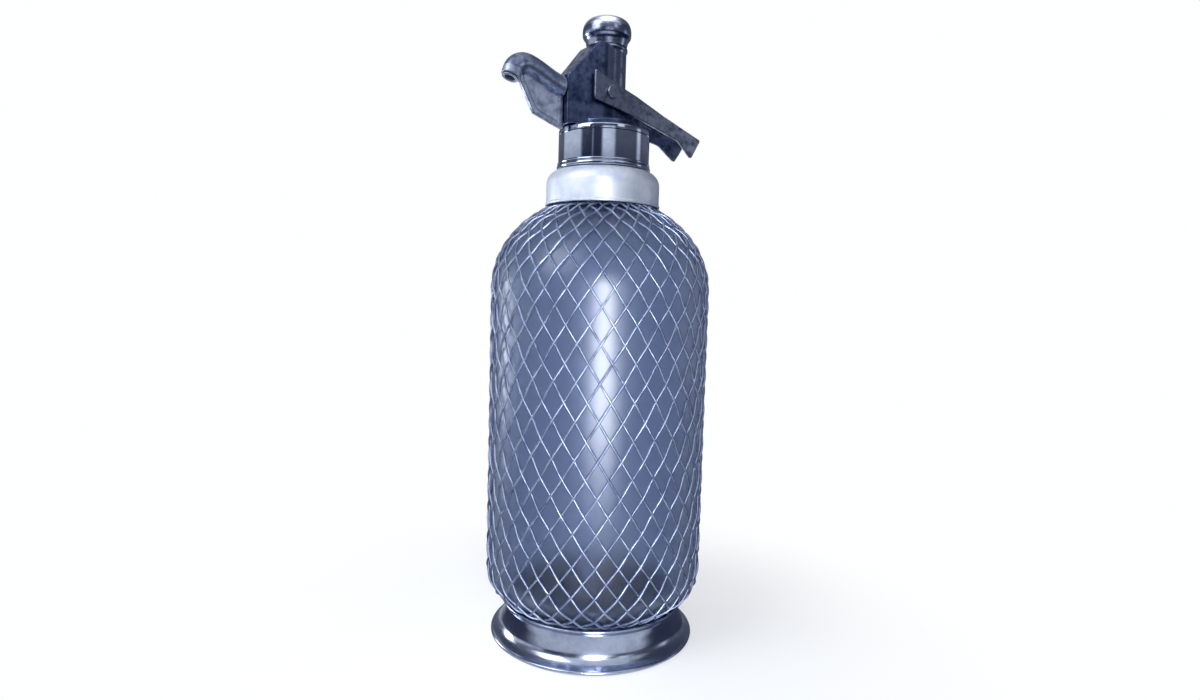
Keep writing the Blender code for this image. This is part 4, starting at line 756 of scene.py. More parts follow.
def makeFoot(material, felt, cushion):
    top, low = highZ("foot"), lowZ("foot")
    rim = farX("foot")
    waist = rim - foot["flare"]
    well = rim - foot["rimWidth"]
    underside = highZ("foot_pad") + general["seatGap"]
    floorTop = underside + foot["floor"]
    lip = waist + foot["lipStand"]
    wall, bead, steps = foot["wall"], foot["beadRadius"], foot["edgeSteps"]
    flare = flowingCurve([(waist + foot["flare"] * out, top * up) for up, out in foot["flareShares"]],
                         foot["flareSteps"])
    edge = arcPoints((rim - bead, low + bead), bead, quarterTurn * foot["beadShare"], -quarterTurn, steps)
    rolled = arcPoints((lip - wall / 2, top - wall / 2), wall / 2, -quarterTurn * foot["rollShare"],
                       2 * quarterTurn, steps)
    inner = [(radius - wall, height) for radius, height in flare if height > floorTop + wall]
    outline = [(0.0, underside), (well, underside), (well, low)] + edge[::-1] + flare[::-1] + rolled
    outline += inner + [(inner[-1][0], floorTop), (0.0, floorTop)]
    mount(turnedPiece("footShell", outline, general["largeSides"], material), "bottle", "foot_metal", "foot")
    padTop, padRadius = highZ("foot_pad"), farX("foot_pad")
    pad = softCorners([(0.0, 0.0), (padRadius, 0.0), (padRadius, padTop), (0.0, padTop)], foot["padRound"],
                      closed=False)
    mount(turnedPiece("footPad", pad, general["largeSides"], felt), "bottle", "felt", "foot_pad")
    hole, outer, cushionLow = foot["cushionHole"], farX("foot_cushion"), lowZ("foot_cushion")
    crown = [point for point in bottleBase(general["seatGap"], foot["cushionSteps"])
             if hole < point[0] < outer]
    ring = [(hole, cushionLow), (outer, cushionLow)] + crown + [(hole, crown[-1][1])]
    piece = turnedPiece("footCushion", ring, general["mediumSides"], cushion)
    mount(piece, "bottle", "rubber", "foot_cushion")


# collar and nut


collar = {"wall": 1.2 * mm, "round": 6.8 * mm, "roundSteps": 14, "hemStand": 0.35 * mm,
          "hemHeight": 1.1 * mm, "hemRound": 0.3 * mm}


def makeCollar(material):
    low, top = lowZ("neck_collar"), highZ("neck_collar")
    outer = farX("neck_collar")
    hole = farX("neck_ring_right") + general["seatGap"]
    wall, hem, bend = collar["wall"], collar["hemStand"], collar["round"]
    body = outer - hem
    middle = (body - bend, top - bend)
    shoulder = arcPoints(middle, bend, 0.0, quarterTurn, collar["roundSteps"])
    under = arcPoints(middle, bend - wall, quarterTurn, 0.0, collar["roundSteps"])
    lowEdge = softCorners([(outer - wall, low), (outer, low), (outer, low + collar["hemHeight"]),
                           (body, low + collar["hemHeight"] + hem)], collar["hemRound"], closed=False)
    outline = lowEdge + shoulder + [(hole, top), (hole, top - wall)] + under
    piece = turnedPiece("neckCollar", outline, general["largeSides"], material)
    mount(piece, "bottle", "collar", "neck_collar")


neckRing = {
    "split": 0.4 * mm,         # between the two halves
    "lowBore": 16.4 * mm,
    "highBore": 18.8 * mm,
    "lipDrop": 6.4 * mm,       # from the top to the seat of the glass lip
    "seatDrop": 7.6 * mm,
    "pitch": 2.5 * mm,
    "threadDepth": 0.55 * mm,
    "threadSteepness": 0.8,    # 0.5 is a plain wave, more makes steeper flanks
    "slicesPerTurn": 9,
}


def cutThread(piece, low, high, outer):
    # a groove that climbs round the outside, shallower towards both ends
    pitch = neckRing["pitch"]
    for vert in piece.data.vertices:
        radius = math.hypot(vert.co.x, vert.co.y)
        if radius > outer - general["weldGap"]:
            turn = (vert.co.z - low) / pitch - math.atan2(vert.co.y, vert.co.x) / fullTurn
            wave = 0.5 - neckRing["threadSteepness"] * math.cos(fullTurn * turn)
            fade = min((vert.co.z - low) / pitch, (high - vert.co.z) / pitch, 1.0)
            groove = neckRing["threadDepth"] * min(max(wave, 0.0), 1.0) * fade
            share = (radius - groove) / radius
            vert.co.x *= share
            vert.co.y *= share


def makeNeckRings(material):
    low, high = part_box("neck_ring_right")
    outer = high.x
    slices = round((high.z - low.z) / neckRing["pitch"] * neckRing["slicesPerTurn"])
    outline = [(outer, low.z + (high.z - low.z) * index / slices) for index in range(slices + 1)]
    outline += [(neckRing["highBore"], high.z), (neckRing["highBore"], high.z - neckRing["lipDrop"]),
                (neckRing["lowBore"], high.z - neckRing["seatDrop"]), (neckRing["lowBore"], low.z)]
    over = general["overrun"]
    for name, side, node in (("neckRingLeft", -1, "neck_ring_left"), ("neckRingRight", 1, "neck_ring_right")):
        piece = turnedPiece(name, outline, general["largeSides"], material)
        cutThread(piece, low.z, high.z, outer)
        near, far = side * neckRing["split"] / 2, -side * (outer + over)
        half = [(near, -outer - over), (far, -outer - over), (far, outer + over), (near, outer + over)]
        combine(piece, planPrism("otherHalf", half, low.z - over, high.z + over), "DIFFERENCE")
        mount(piece, "bottle", "brass", node)


unionNut = {
    "bodyInset": 0.7 * mm,     # the lower bead stands out this far beyond the nut's side
    "wall": 1.6 * mm,
    "topWall": 2.5 * mm,
    "topEdge": 0.8 * mm,
    "topEdgeSteps": 5,
    "beadHeight": 2.1 * mm,
    "beadSpace": 0.1 * mm,
    "secondBeadHeight": 1.2 * mm,
    "secondBeadStand": 0.45 * mm,
    "beadSteps": 10,
    "secondBeadSteps": 8,
    "grooveDepth": 0.25 * mm,
    "grooveDrop": 2.4 * mm,
    "hole": 17.1 * mm,
}


def makeUnionNut(material):
    low, top = lowZ("union_nut"), highZ("union_nut")
    stand, hole = unionNut["bodyInset"], unionNut["hole"]
    side = farX("union_nut") - stand
    bore, ceiling = side - unionNut["wall"], top - unionNut["topWall"]
    outline = []
    beads = ((low, stand, unionNut["beadHeight"], unionNut["beadSteps"]),
             (low + unionNut["beadHeight"] + unionNut["beadSpace"], unionNut["secondBeadStand"],
              unionNut["secondBeadHeight"], unionNut["secondBeadSteps"]))
    for level, reach, tall, steps in beads:
        outline += arcPoints((side, level + tall / 2), reach, -quarterTurn, quarterTurn, steps, up=tall / 2)
    groove, deep = top - unionNut["grooveDrop"], unionNut["grooveDepth"]
    outline += [(side, groove - 2 * deep), (side - deep, groove - deep)]
    outline += softCorners([(side, groove), (side, top), (hole, top)], unionNut["topEdge"],
                           unionNut["topEdgeSteps"], closed=False)
    outline += [(hole, ceiling), (bore, ceiling), (bore, low)]
    piece = turnedPiece("unionNut", outline, general["largeSides"], material)
    mount(piece, "union_nut", "nut_chrome", "union_nut")


# head


head = {
    "deckRise": 9.5 * mm,
    "deckReach": 15.0 * mm,
    "halfWidth": 9.5 * mm,
    "prowHalfWidth": 5.3 * mm,
    "prowShoulder": 22.0 * mm,
    # shares of the reach and of the half width, towards the deck's round end and the prow's front
    "deckShares": ((0.0, 1.0), (0.3, 0.975), (0.5, 0.92), (0.68, 0.82), (0.82, 0.66), (0.94, 0.44),
                   (1.0, 0.2)),
    "prowShares": ((0.15, 0.98), (0.3, 0.93), (0.46, 0.74), (0.62, 0.5), (0.78, 0.25), (0.93, 0.06)),
    "prowBackShare": 0.25,     # how far the prow reaches back, as a share of its half width
    "noseShare": 0.25,         # how much the prow's front edge is drawn in, as a share of its taper
    "columnSinkShare": 0.25,   # where the column starts in the deck, as a share of its height
    "columnRadius": 9.7 * mm,
    "columnShare": 0.9,        # share of the column's radius that stands clear of the prow
    "ringHeight": 1.4 * mm,    # raised ring round the column's top, under the cap
    "ringStand": 0.55 * mm,
    "capSpigotRadius": 8.4 * mm,
    "spigotRadius": 16.8 * mm,
    "spigotFootRadius": 15.0 * mm,
    "baseRise": 3.3 * mm,      # round base under the block
    "baseEdge": 0.5 * mm,
    "slotHalfWidth": 1.7 * mm,
    "stemX": 8.8 * mm,
    "stemRadius": 1.15 * mm,
    "stemHoleGrowth": 2,       # the casting's hole is this many times as wide as the stem needs
    "slotTop": 268.9 * mm,
    "voxel": 0.38 * mm,
    "softening": 7,
}


def headPlan(front, back):
    taper = head["halfWidth"] - head["prowHalfWidth"]
    right = [(back * x, head["halfWidth"] * y) for x, y in head["deckShares"]]
    left = [(-front * x, head["prowHalfWidth"] + taper * y) for x, y in head["prowShares"]]
    half = right[::-1] + left + [(-front, head["prowHalfWidth"] - taper * head["noseShare"])]
    return half + [(x, -y) for x, y in half[::-1]]


def makeHead(material, columnSheenMaterial):
    blockLow = highZ("union_nut") + general["seatGap"]
    deckTop = blockLow + head["deckRise"]
    columnTop = lowZ("charging_cap") - general["seatGap"]
    prowReach = -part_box("head_body")[0].x
    over = general["overrun"]
    piece = planPrism("headCasting", headPlan(prowReach, head["deckReach"]), blockLow, deckTop)
    plan = headPlan(prowReach, head["prowHalfWidth"] * head["prowBackShare"])
    prow = planPrism("prow", plan, blockLow + head["deckRise"] / 2, columnTop)
    radius, side = head["columnRadius"], head["halfWidth"] + over
    shoulderZ = blockLow + head["prowShoulder"]
    slope = (columnTop - shoulderZ) / (prowReach - radius)
    startX, endZ = -prowReach - over, columnTop + slope * (radius + over)
    wedge = [(startX, shoulderZ - slope * over), (over, endZ), (over, endZ + prowReach),
             (startX, endZ + prowReach)]
    combine(prow, sidePrism("wedge", wedge, -side, side), "DIFFERENCE")
    combine(piece, prow, "UNION")
    low, top, neck = lowZ("head_body"), highZ("head_body"), head["capSpigotRadius"]
    stand, ringZ = head["ringStand"], columnTop - head["ringHeight"]
    columnLow = blockLow + head["deckRise"] * head["columnSinkShare"]
    column = [(0.0, columnLow), (radius, columnLow), (radius, ringZ - stand), (radius + stand, ringZ),
              (radius + stand, columnTop), (neck, columnTop), (neck, top), (0.0, top)]
    combine(piece, turnedPiece("column", column, general["mediumSides"]), "UNION")
    flangeTop = highZ("head_flange") + general["seatGap"]
    footRadius, wide = head["spigotFootRadius"], head["spigotRadius"]
    baseTop, edge = blockLow + head["baseRise"], head["baseEdge"]
    spigot = [(0.0, low), (footRadius, low), (footRadius, flangeTop), (wide, flangeTop),
              (wide, baseTop - edge), (wide - edge, baseTop), (0.0, baseTop)]
    combine(piece, turnedPiece("spigot", spigot, general["mediumSides"]), "UNION")
    stemX, slotTop, half = head["stemX"], head["slotTop"], head["slotHalfWidth"]
    slotX, slotEnd = stemX - head["stemRadius"] - general["seatGap"], radius + over
    slot = [(slotX, deckTop), (slotEnd, deckTop), (slotEnd, slotTop), (slotX, slotTop)]
    combine(piece, sidePrism("slot", slot, -half, half), "DIFFERENCE")
    stemHole = (head["stemRadius"] + general["seatGap"]) * head["stemHoleGrowth"]
    ends = [(stemX, 0, low - over), (stemX, 0, deckTop + over)]
    combine(piece, barBetween("stemHole", *ends, stemHole), "DIFFERENCE")
    castSurface(piece, head["voxel"], head["softening"], material, columnSheenMaterial)
    # faces round the column above the deck get the lighter plate: a painted highlight down the column
    for face in piece.data.polygons:
        x, y, z = face.center
        if math.hypot(x, y) < radius + 2 * stand and z > deckTop and x > -radius * head["columnShare"]:
            face.material_index = 1
    mount(piece, "head", "head_metal", "head_body")


# spout


spout = {
    "crestReach": 18.8 * mm,
    "crestRise": 6.3 * mm,
    "bendRadius": 6.6 * mm,
    "endLength": 2.6 * mm,
    "rootRadius": 5.1 * mm,
    "mouthRadius": 4.4 * mm,
    "boreRadius": 3.4 * mm,
    "boreDepth": 5.0 * mm,
    "mouthRim": 1.2 * mm,      # paler edge round the mouth, a painted highlight
    "rootRise": 17.0 * mm,     # above the union nut
    "rootHandle": 0.3,
    "crestHandle": 0.32,
    "crestSlope": math.radians(11.0),
    "mouthLean": math.radians(19.0),
    "finThickness": 2.4 * mm,
    "panelThickness": 1.5 * mm,
    "finDepth": 19.6 * mm,
    "cornerReach": 15.3 * mm,
    "cornerDepth": 14.6 * mm,
    "borderWidth": 1.9 * mm,
    "panelRound": 1.2 * mm,
    "finEndShares": (0.5, 0.25),   # of the mouth's radius, back and down from where the bend ends
    "finFacing": 0.5,          # how squarely a face of the fin looks sideways
    "steps": 12,               # along each of the tube's two curves
    "sides": 40,
    "voxel": 0.3 * mm,
    "softening": 5,
}


def spoutLine():
    # points and directions along the tube, through its crest and down to the mouth
    steps = spout["steps"]
    rootZ = highZ("union_nut") + general["seatGap"] + spout["rootRise"]
    root = Vector((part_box("head_body")[0].x - general["seatGap"], 0.0, rootZ))
    crest = root + Vector((-spout["crestReach"], 0.0, spout["crestRise"]))
    forward = Vector((-1.0, 0.0, 0.0))
    rising = Vector((-math.cos(spout["crestSlope"]), 0.0, math.sin(spout["crestSlope"])))
    reach = spout["crestReach"]
    points = list(interpolate_bezier(root, root + forward * reach * spout["rootHandle"],
                                     crest - rising * reach * spout["crestHandle"], crest, steps))
    middle = [(after - before).normalized() for before, after in zip(points, points[2:])]
    directions = [forward] + middle + [rising]
    centre = crest - Vector((rising.z, 0.0, -rising.x)) * spout["bendRadius"]
    turn = spout["crestSlope"] + quarterTurn - spout["mouthLean"]
    for step in range(1, steps + 1):
        turned = Matrix.Rotation(-turn * step / steps, 3, "Y")
        points.append(centre + turned @ (crest - centre))
        directions.append(turned @ rising)
    points.append(points[-1] + directions[-1] * spout["endLength"])
    directions.append(directions[-1].copy())
    return points, directions


def insetOutline(points, inset):
    # moves each side of a clockwise or anticlockwise outline inwards
    area = sum(a[0] * b[1] - b[0] * a[1] for a, b in zip(points, points[1:] + points[:1]))
    side = inset if area > 0 else -inset
    lines = []
    for a, b in zip(points, points[1:] + points[:1]):
        along = (Vector(b) - Vector(a)).normalized()
        lines.append((Vector(a) + Vector((-along.y, along.x)) * side, along))
    result = []
    for (a, u), (b, v) in zip(lines[-1:] + lines[:-1], lines):
        cross = u.x * v.y - u.y * v.x
        result.append(tuple(a + u * ((b - a).x * v.y - (b - a).y * v.x) / cross))
    return result


def makeSpout(material, finSheenMaterial):
    points, directions = spoutLine()
    last, narrowing = len(points) - 1, spout["mouthRadius"] - spout["rootRadius"]
    radii = [spout["rootRadius"] + narrowing * index / last for index in range(last + 1)]
    acrosses = [Vector((0.0, 1.0, 0.0))] * len(points)
    piece = sweptBar("spoutCasting", points, directions, acrosses, radii, spout["sides"])
    root, crest, bendEnd, mouth = points[0], points[spout["steps"] - 1], points[-2], points[-1]
    back, down = spout["finEndShares"]
    fin = [(root.x, root.z), (root.x, root.z - spout["finDepth"]),
           (root.x - spout["cornerReach"], root.z - spout["cornerDepth"]),
           (bendEnd.x + spout["mouthRadius"] * back, bendEnd.z - spout["mouthRadius"] * down),
           (crest.x, crest.z)]
    half, panel = spout["finThickness"] / 2, spout["panelThickness"] / 2
    plate = sidePrism("fin", fin, -half, half)
    inner = softCorners(insetOutline(fin, spout["borderWidth"]), spout["panelRound"])
    over = general["overrun"]
    combine(plate, sidePrism("nearPanel", inner, -half - over, -panel), "DIFFERENCE")
    combine(plate, sidePrism("farPanel", inner, panel, half + over), "DIFFERENCE")
    combine(piece, plate, "UNION")
    falling = directions[-1]
    ends = (mouth - falling * spout["boreDepth"], mouth + falling * over)
    combine(piece, barBetween("mouthBore", *ends, spout["boreRadius"]), "DIFFERENCE")
    castSurface(piece, spout["voxel"], spout["softening"], material, finSheenMaterial)
    # the fin's faces and the rim round the mouth get the lighter plate: painted sheen on the fin and a
    # painted highlight round the mouth
    for face in piece.data.polygons:
        near = min(points, key=lambda point: (point - face.center).length_squared)
        onFin = abs(face.normal.y) > spout["finFacing"] and (near - face.center).length > spout["rootRadius"]
        if onFin or (face.center - mouth).length < spout["mouthRadius"] + spout["mouthRim"]:
            face.material_index = 1
    mount(piece, "head", "head_metal", "spout")


tipRing = {"boreRadius": 2.4 * mm, "radius": 3.1 * mm, "lipRadius": 3.8 * mm, "lipThickness": 0.6 * mm,
           "depth": 4.1 * mm, "edgeRound": 0.25 * mm, "edgeSteps": 3}


def makeNozzleTip(material):
    points, directions = spoutLine()
    bore, outer, lip, deep = (tipRing[key] for key in ("boreRadius", "radius", "lipRadius", "depth"))
    start, end = general["seatGap"], general["seatGap"] + tipRing["lipThickness"]
    ring = softCorners([(bore, -deep), (outer, -deep), (outer, start), (lip, start), (lip, end), (bore, end)],
                       tipRing["edgeRound"], tipRing["edgeSteps"])
    tip = turnedPiece("nozzleTip", ring, general["smallSides"], material)
    turn = directions[-1].to_track_quat("Z", "Y").to_matrix().to_4x4()
    tip.data.transform(Matrix.Translation(points[-1]) @ turn)
    mount(tip, "head", "nut_chrome", "nozzle_tip")


# lever


lever = {
    "pivotX": -4.0 * mm,
    "pivotRise": 16.0 * mm,
    "slope": math.radians(17.0),
    "topRise": 6.2 * mm,
    "wall": 1.4 * mm,
    "frontReach": 9.8 * mm,
    "frontDepth": 13.6 * mm,
    "kneeReach": 19.0 * mm,
    "kneeDepth": 10.6 * mm,
    "waistReach": 44.7 * mm,
    "waistDepth": 8.2 * mm,
    "tailReach": 61.6 * mm,
    "tailDepth": 12.6 * mm,
    "cutDepth": 37.8 * mm,     # how far below the tail's top the cutters reach
    "tailSlant": 6.9 * mm,
    "tailHalfWidth": 6.6 * mm,
    "taperStart": 12.0 * mm,   # from the column's axis
    "edgeRound": 1.7 * mm,
    "edgeSegments": 5,
    "cornerRound": 1.5 * mm,
    "cornerSteps": 6,
    "columnClear": 10.3 * mm,
    "saddleSteps": 32,
    "pinHoleRadius": 2.3 * mm,
    "tongueHalfWidth": 1.3 * mm,
    "tongueStep": 0.3 * mm,
    "tongueThickness": 1.6 * mm,
    "voxel": 0.3 * mm,
    "softening": 4,
}


def pivotHeight():
    return highZ("union_nut") + general["seatGap"] + lever["pivotRise"]


def leverTop(x):
    return pivotHeight() + lever["topRise"] - math.tan(lever["slope"]) * (x - lever["pivotX"])


def narrowTowardsTail(piece, halfWidth, tailHalfWidth):
    start, tail = lever["taperStart"], lever["pivotX"] + lever["tailReach"]
    bm = bmesh.new()
    bm.from_mesh(piece.data)
    bmesh.ops.bisect_plane(bm, geom=bm.verts[:] + bm.edges[:] + bm.faces[:], dist=general["weldGap"],
                           plane_co=(start, 0, 0), plane_no=(1, 0, 0))
    for vert in bm.verts:
        inset = (halfWidth - tailHalfWidth) * max(vert.co.x - start, 0.0) / (tail - start)
        vert.co.y -= math.copysign(inset, vert.co.y)
    bm.to_mesh(piece.data)
    bm.free()
    return piece


def makeLever(material):
    front = lever["pivotX"] - lever["frontReach"]
    knee, waist, tail = (lever["pivotX"] + lever[key] for key in ("kneeReach", "waistReach", "tailReach"))
    corners = ((front, 0.0), (tail, 0.0), (tail - lever["tailSlant"], lever["tailDepth"]),
               (waist, lever["waistDepth"]), (knee, lever["kneeDepth"]), (front, lever["frontDepth"]))
    outline = softCorners([(x, leverTop(x) - depth) for x, depth in corners], lever["cornerRound"],
                          lever["cornerSteps"])
    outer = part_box("lever")[1].y
    inner = outer - lever["wall"]
    over = general["overrun"]
    piece = narrowTowardsTail(sidePrism("thumbLever", outline, -outer, outer), outer, lever["tailHalfWidth"])
    bm = bmesh.new()
    bm.from_mesh(piece.data)
    edges = [edge for edge in bm.edges if edge.verts[0].co.y * edge.verts[1].co.y > 0
             and all(abs(vert.co.z - leverTop(vert.co.x)) < general["weldGap"] for vert in edge.verts)]
    bmesh.ops.bevel(bm, geom=edges, offset=lever["edgeRound"], segments=lever["edgeSegments"], affect="EDGES")
    bm.to_mesh(piece.data)
    bm.free()
    drop = lever["wall"] / math.cos(lever["slope"])
    start, end = front - over, tail + over
    deep, high = leverTop(tail) - lever["cutDepth"], leverTop(front) + over
    hollow = [(start, leverTop(start) - drop), (end, leverTop(end) - drop), (end, deep), (start, deep)]
    tool = narrowTowardsTail(sidePrism("hollow", hollow, -inner, inner), inner,
                             lever["tailHalfWidth"] - lever["wall"])
    combine(piece, tool, "DIFFERENCE")
    fork = [(start, -inner), (0.0, -inner), (0.0, inner), (start, inner)]
    combine(piece, planPrism("fork", fork, deep, high), "DIFFERENCE")
    clear = lever["columnClear"]
    spread = math.asin(inner / clear)
    curve = arcPoints((0.0, 0.0), clear, spread, -spread, lever["saddleSteps"])
    saddle = [(-clear / 2, inner)] + curve + [(-clear / 2, -inner)]
    combine(piece, planPrism("saddle", saddle, deep, high), "DIFFERENCE")
    stemEdge = head["stemX"] - head["stemRadius"]
    ends = (stemEdge, clear + over)
    upper = [(x, leverTop(x) - lever["tongueStep"]) for x in ends]
    tongue = upper + [(x, z - lever["tongueThickness"]) for x, z in upper[::-1]]
    half = lever["tongueHalfWidth"]
    combine(piece, sidePrism("tongue", tongue, -half, half), "UNION")
    ends = [(lever["pivotX"], y, pivotHeight()) for y in (-outer - over, outer + over)]
    combine(piece, barBetween("pinHole", *ends, lever["pinHoleRadius"]), "DIFFERENCE")
    castSurface(piece, lever["voxel"], lever["softening"], material)
    mount(piece, "lever", "lever_metal", "lever")


leverPin = {"radius": 2.0 * mm, "headRadius": 3.1 * mm, "headThickness": 1.2 * mm, "stand": 2.2 * mm,
            "clipRadius": 3.4 * mm, "clipThickness": 0.8 * mm, "grooveRadius": 1.6 * mm,
            "edgeRound": 0.5 * mm, "clipRound": 0.2 * mm, "clipRoundSteps": 3}


def makeLeverPin(steel):
    cheek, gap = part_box("lever")[1].y, general["seatGap"]
    seat, end = cheek + gap, cheek + leverPin["stand"]
    radius, groove, headRadius = leverPin["radius"], leverPin["grooveRadius"], leverPin["headRadius"]
    headEnd, clipEnd = -seat - leverPin["headThickness"], seat + leverPin["clipThickness"]
    pinHead = softCorners([(0.0, headEnd), (headRadius, headEnd), (headRadius, -seat), (radius, -seat)],
                          leverPin["edgeRound"], closed=False)
    shank = [(radius, cheek), (groove, cheek), (groove, clipEnd + gap)]
    pinEnd = softCorners([(radius, clipEnd + gap), (radius, end), (0.0, end)], leverPin["edgeRound"],
                         closed=False)
    pivot = (lever["pivotX"], pivotHeight())
    mount(turnedAcross("leverPin", pinHead + shank + pinEnd, steel, pivot), "head", "steel", "lever_pin")
    hole, clip = groove + gap, leverPin["clipRadius"]
    ring = softCorners([(hole, seat), (clip, seat), (clip, clipEnd), (hole, clipEnd)], leverPin["clipRound"],
                       leverPin["clipRoundSteps"])
    mount(turnedAcross("pinClip", ring, steel, pivot), "head", "steel", "pin_clip")


# charging cap


cap = {
    "rimRadius": 9.8 * mm,
    "boreRadius": 8.7 * mm,
    "paintedShadeShare": 0.6,        # share of its height below which the cap gets the darker plate as painted shade on its waist, and above which the lighter plate is painted sheen on its dome
    # shares of the way from the rim to the widest radius, and of the height
    "waistShares": ((0.0, 0.0), (0.03, 0.05), (0.12, 0.11), (0.2, 0.17), (0.41, 0.24), (0.72, 0.295),
                    (0.93, 0.345), (1.0, 0.42), (1.0, 0.5), (0.96, 0.58)),
    # shares of the widest radius and of the height
    "domeShares": ((0.955, 0.7), (0.89, 0.79), (0.79, 0.865), (0.62, 0.93), (0.4, 0.975), (0.18, 0.995)),
    "curveSteps": 4,
    "sides": 96,
}


def makeCap(material, capShadeMaterial):
    low, top = lowZ("charging_cap"), highZ("charging_cap")
    tall, wide = top - low, farX("charging_cap")
    rim = cap["rimRadius"]
    waist = [(rim + (wide - rim) * out, low + tall * up) for out, up in cap["waistShares"]]
    dome = [(wide * across, low + tall * up) for across, up in cap["domeShares"]]
    ceiling = highZ("cap_washer") + general["seatGap"]
    outside = flowingCurve(waist + dome + [(0.0, top)], cap["curveSteps"])
    outline = [(0.0, ceiling), (cap["boreRadius"], ceiling), (cap["boreRadius"], low)] + outside
    piece = turnedPiece("chargingCap", outline, cap["sides"], material)
    piece.data.materials.append(capShadeMaterial)
    # the waist gets the darker plate: painted shade under the dome, with painted sheen on the lighter dome
    # above
    for face in piece.data.polygons:
        if face.center.z < low + tall * cap["paintedShadeShare"]:
            face.material_index = 1
    mount(piece, "charging_cap", "nut_chrome", "charging_cap")


# inner pieces


dipTube = {"wall": 1.0 * mm, "endRound": 0.3 * mm, "endSteps": 3}


def makeDipTube(material):
    low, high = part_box("dip_tube")
    centre = ((low.x + high.x) / 2, 0.0)
    outer = (high.x - low.x) / 2
    bore = outer - dipTube["wall"]
    ring = softCorners([(bore, low.z), (outer, low.z), (outer, high.z), (bore, high.z)], dipTube["endRound"],
                       dipTube["endSteps"])
    piece = turnedPiece("dipTube", ring, general["smallSides"], material, centre)
    mount(piece, "head", "tube", "dip_tube")


valveSpring = {
    "wireRadius": 0.25 * mm,
    "turns": 6,
    "closedRise": 0.55 * mm,   # of each closed turn, one at either end
    "stepsPerTurn": 24,
    "sides": 10,
}


def makeValveSpring(material):
    # a coil with a closed turn at each end, built at one fixed length, though the valve squeezes the real
    # spring as it slides
    low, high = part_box("valve_spring")
    wire, turns = valveSpring["wireRadius"], valveSpring["turns"]
    centreX, coil = (low.x + high.x) / 2, (high.x - low.x) / 2 - wire
    start, end = low.z + wire, high.z - wire
    closedRise, stepsPerTurn = valveSpring["closedRise"], valveSpring["stepsPerTurn"]
    openRise = (end - start - 2 * closedRise) / (turns - 2)
    points, directions, acrosses = [], [], []
    for step in range(turns * stepsPerTurn + 1):
        turn = step / stepsPerTurn
        opened = min(max(turn - 1, 0.0), turns - 2)
        height = start + openRise * opened + closedRise * (turn - opened)
        across = Vector((math.cos(fullTurn * turn), math.sin(fullTurn * turn), 0.0))
        points.append(Vector((centreX, 0.0, height)) + across * coil)
        directions.append(Vector((-across.y, across.x, 0.0)))
        acrosses.append(across)
    piece = sweptBar("valveSpring", points, directions, acrosses, [wire] * len(points), valveSpring["sides"],
                     material)
    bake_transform(piece)
    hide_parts("valve_spring")


innerPieces = {
    "steel": ("piercing_pin", "valve_stem"),
    "brass": ("head_flange", "gland_ring", "valve_seat", "valve_plug", "valve_disc", "dip_tube_bush"),
    "rubber": ("neck_seal", "gland_packing", "check_sleeve", "valve_washer", "cap_washer"),
}


def dressInnerPieces(materials):
    for slot, names in innerPieces.items():
        for name in names:
            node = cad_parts[name]
            node.data.materials.clear()
            node.data.materials.append(materials[slot])


# studio


studio = {
    "backdrop": (0.99, 0.995, 1.0, 1),
    "dark": (0.012, 0.018, 0.05, 1),
    "bright": (0.9, 0.95, 1.0, 1),
    "ceiling": (0.75, 0.75, 0.75, 1),
    # sines of the heights where one layer of panels gives way to the next
    "gapStart": (0.26, 0.3),
    "raisedStart": (0.42, 0.5),
    "ceilingStart": (0.84, 0.94),
    # share of brightness at each angle round the siphon, in degrees to the right of the camera
    "fillBands": ((-180, 0.5), (-150, 0.7), (0, 0.8), (30, 0.2), (50, 0.08), (150, 0.1), (178, 0.5)),
    "levelBands": ((-180, 0.15), (-122, 0.13), (-115, 0.72), (-62, 0.72), (-55, 0.03), (-31, 0.02),
                   (-28, 0.3), (-25, 0.02), (-7, 0.03), (-1, 0.92), (24, 0.75), (30, 0.1), (88, 0.1),
                   (94, 0.85), (101, 0.75), (106, 0.12), (178, 0.14)),
    "gapBands": ((-180, 0.1), (32, 0.05), (36, 1.0), (49, 1.0), (54, 0.05), (178, 0.1)),
    "raisedBands": ((-180, 0.6), (-150, 0.55), (-138, 0.05), (-84, 0.05), (-72, 0.65), (0, 0.75), (8, 1.0),
                    (16, 0.75), (68, 0.6), (78, 0.05), (155, 0.05), (176, 0.6)),
    "floorBands": ((-180, 0.5), (-115, 0.5), (-100, 0.03), (-62, 0.03), (-50, 0.6), (0, 0.75), (46, 0.7),
                   (58, 0.03), (140, 0.03), (175, 0.4)),
    "farFloorBands": ((-180, 1.0), (-150, 1.0), (-140, 0.0), (140, 0.0), (150, 1.0), (178, 1.0)),
}


def bandRamp(tree, bearing, bands):
    ramp = addNode(tree, "ShaderNodeValToRGB", {0: bearing})
    stops = ramp.color_ramp.elements
    while len(stops) > 1:
        stops.remove(stops[-1])
    for index, (angle, share) in enumerate(bands):
        place = (angle + 180) / 360
        stop = stops.new(place) if index else stops[0]
        stop.position = place
        stop.color = (share, share, share, 1)
    return ramp.outputs[0]


def bearingAndHeight(tree, vector):
    # the bearing is a share of a full turn to the right, from straight behind the siphon
    turn = -(camera["azimuth"] - quarterTurn)
    turned = addNode(tree, "ShaderNodeMapping", {"Vector": vector, "Rotation": (0.0, 0.0, turn)}).outputs[0]
    axes = addNode(tree, "ShaderNodeSeparateXYZ", {0: turned}).outputs
    angle = calc(tree, "ARCTAN2", axes[1], axes[0])
    return calc(tree, "ADD", calc(tree, "DIVIDE", angle, fullTurn), 0.5), axes[2]


def darkToBright(tree, share):
    return mixColours(tree, share, studio["dark"], studio["bright"])


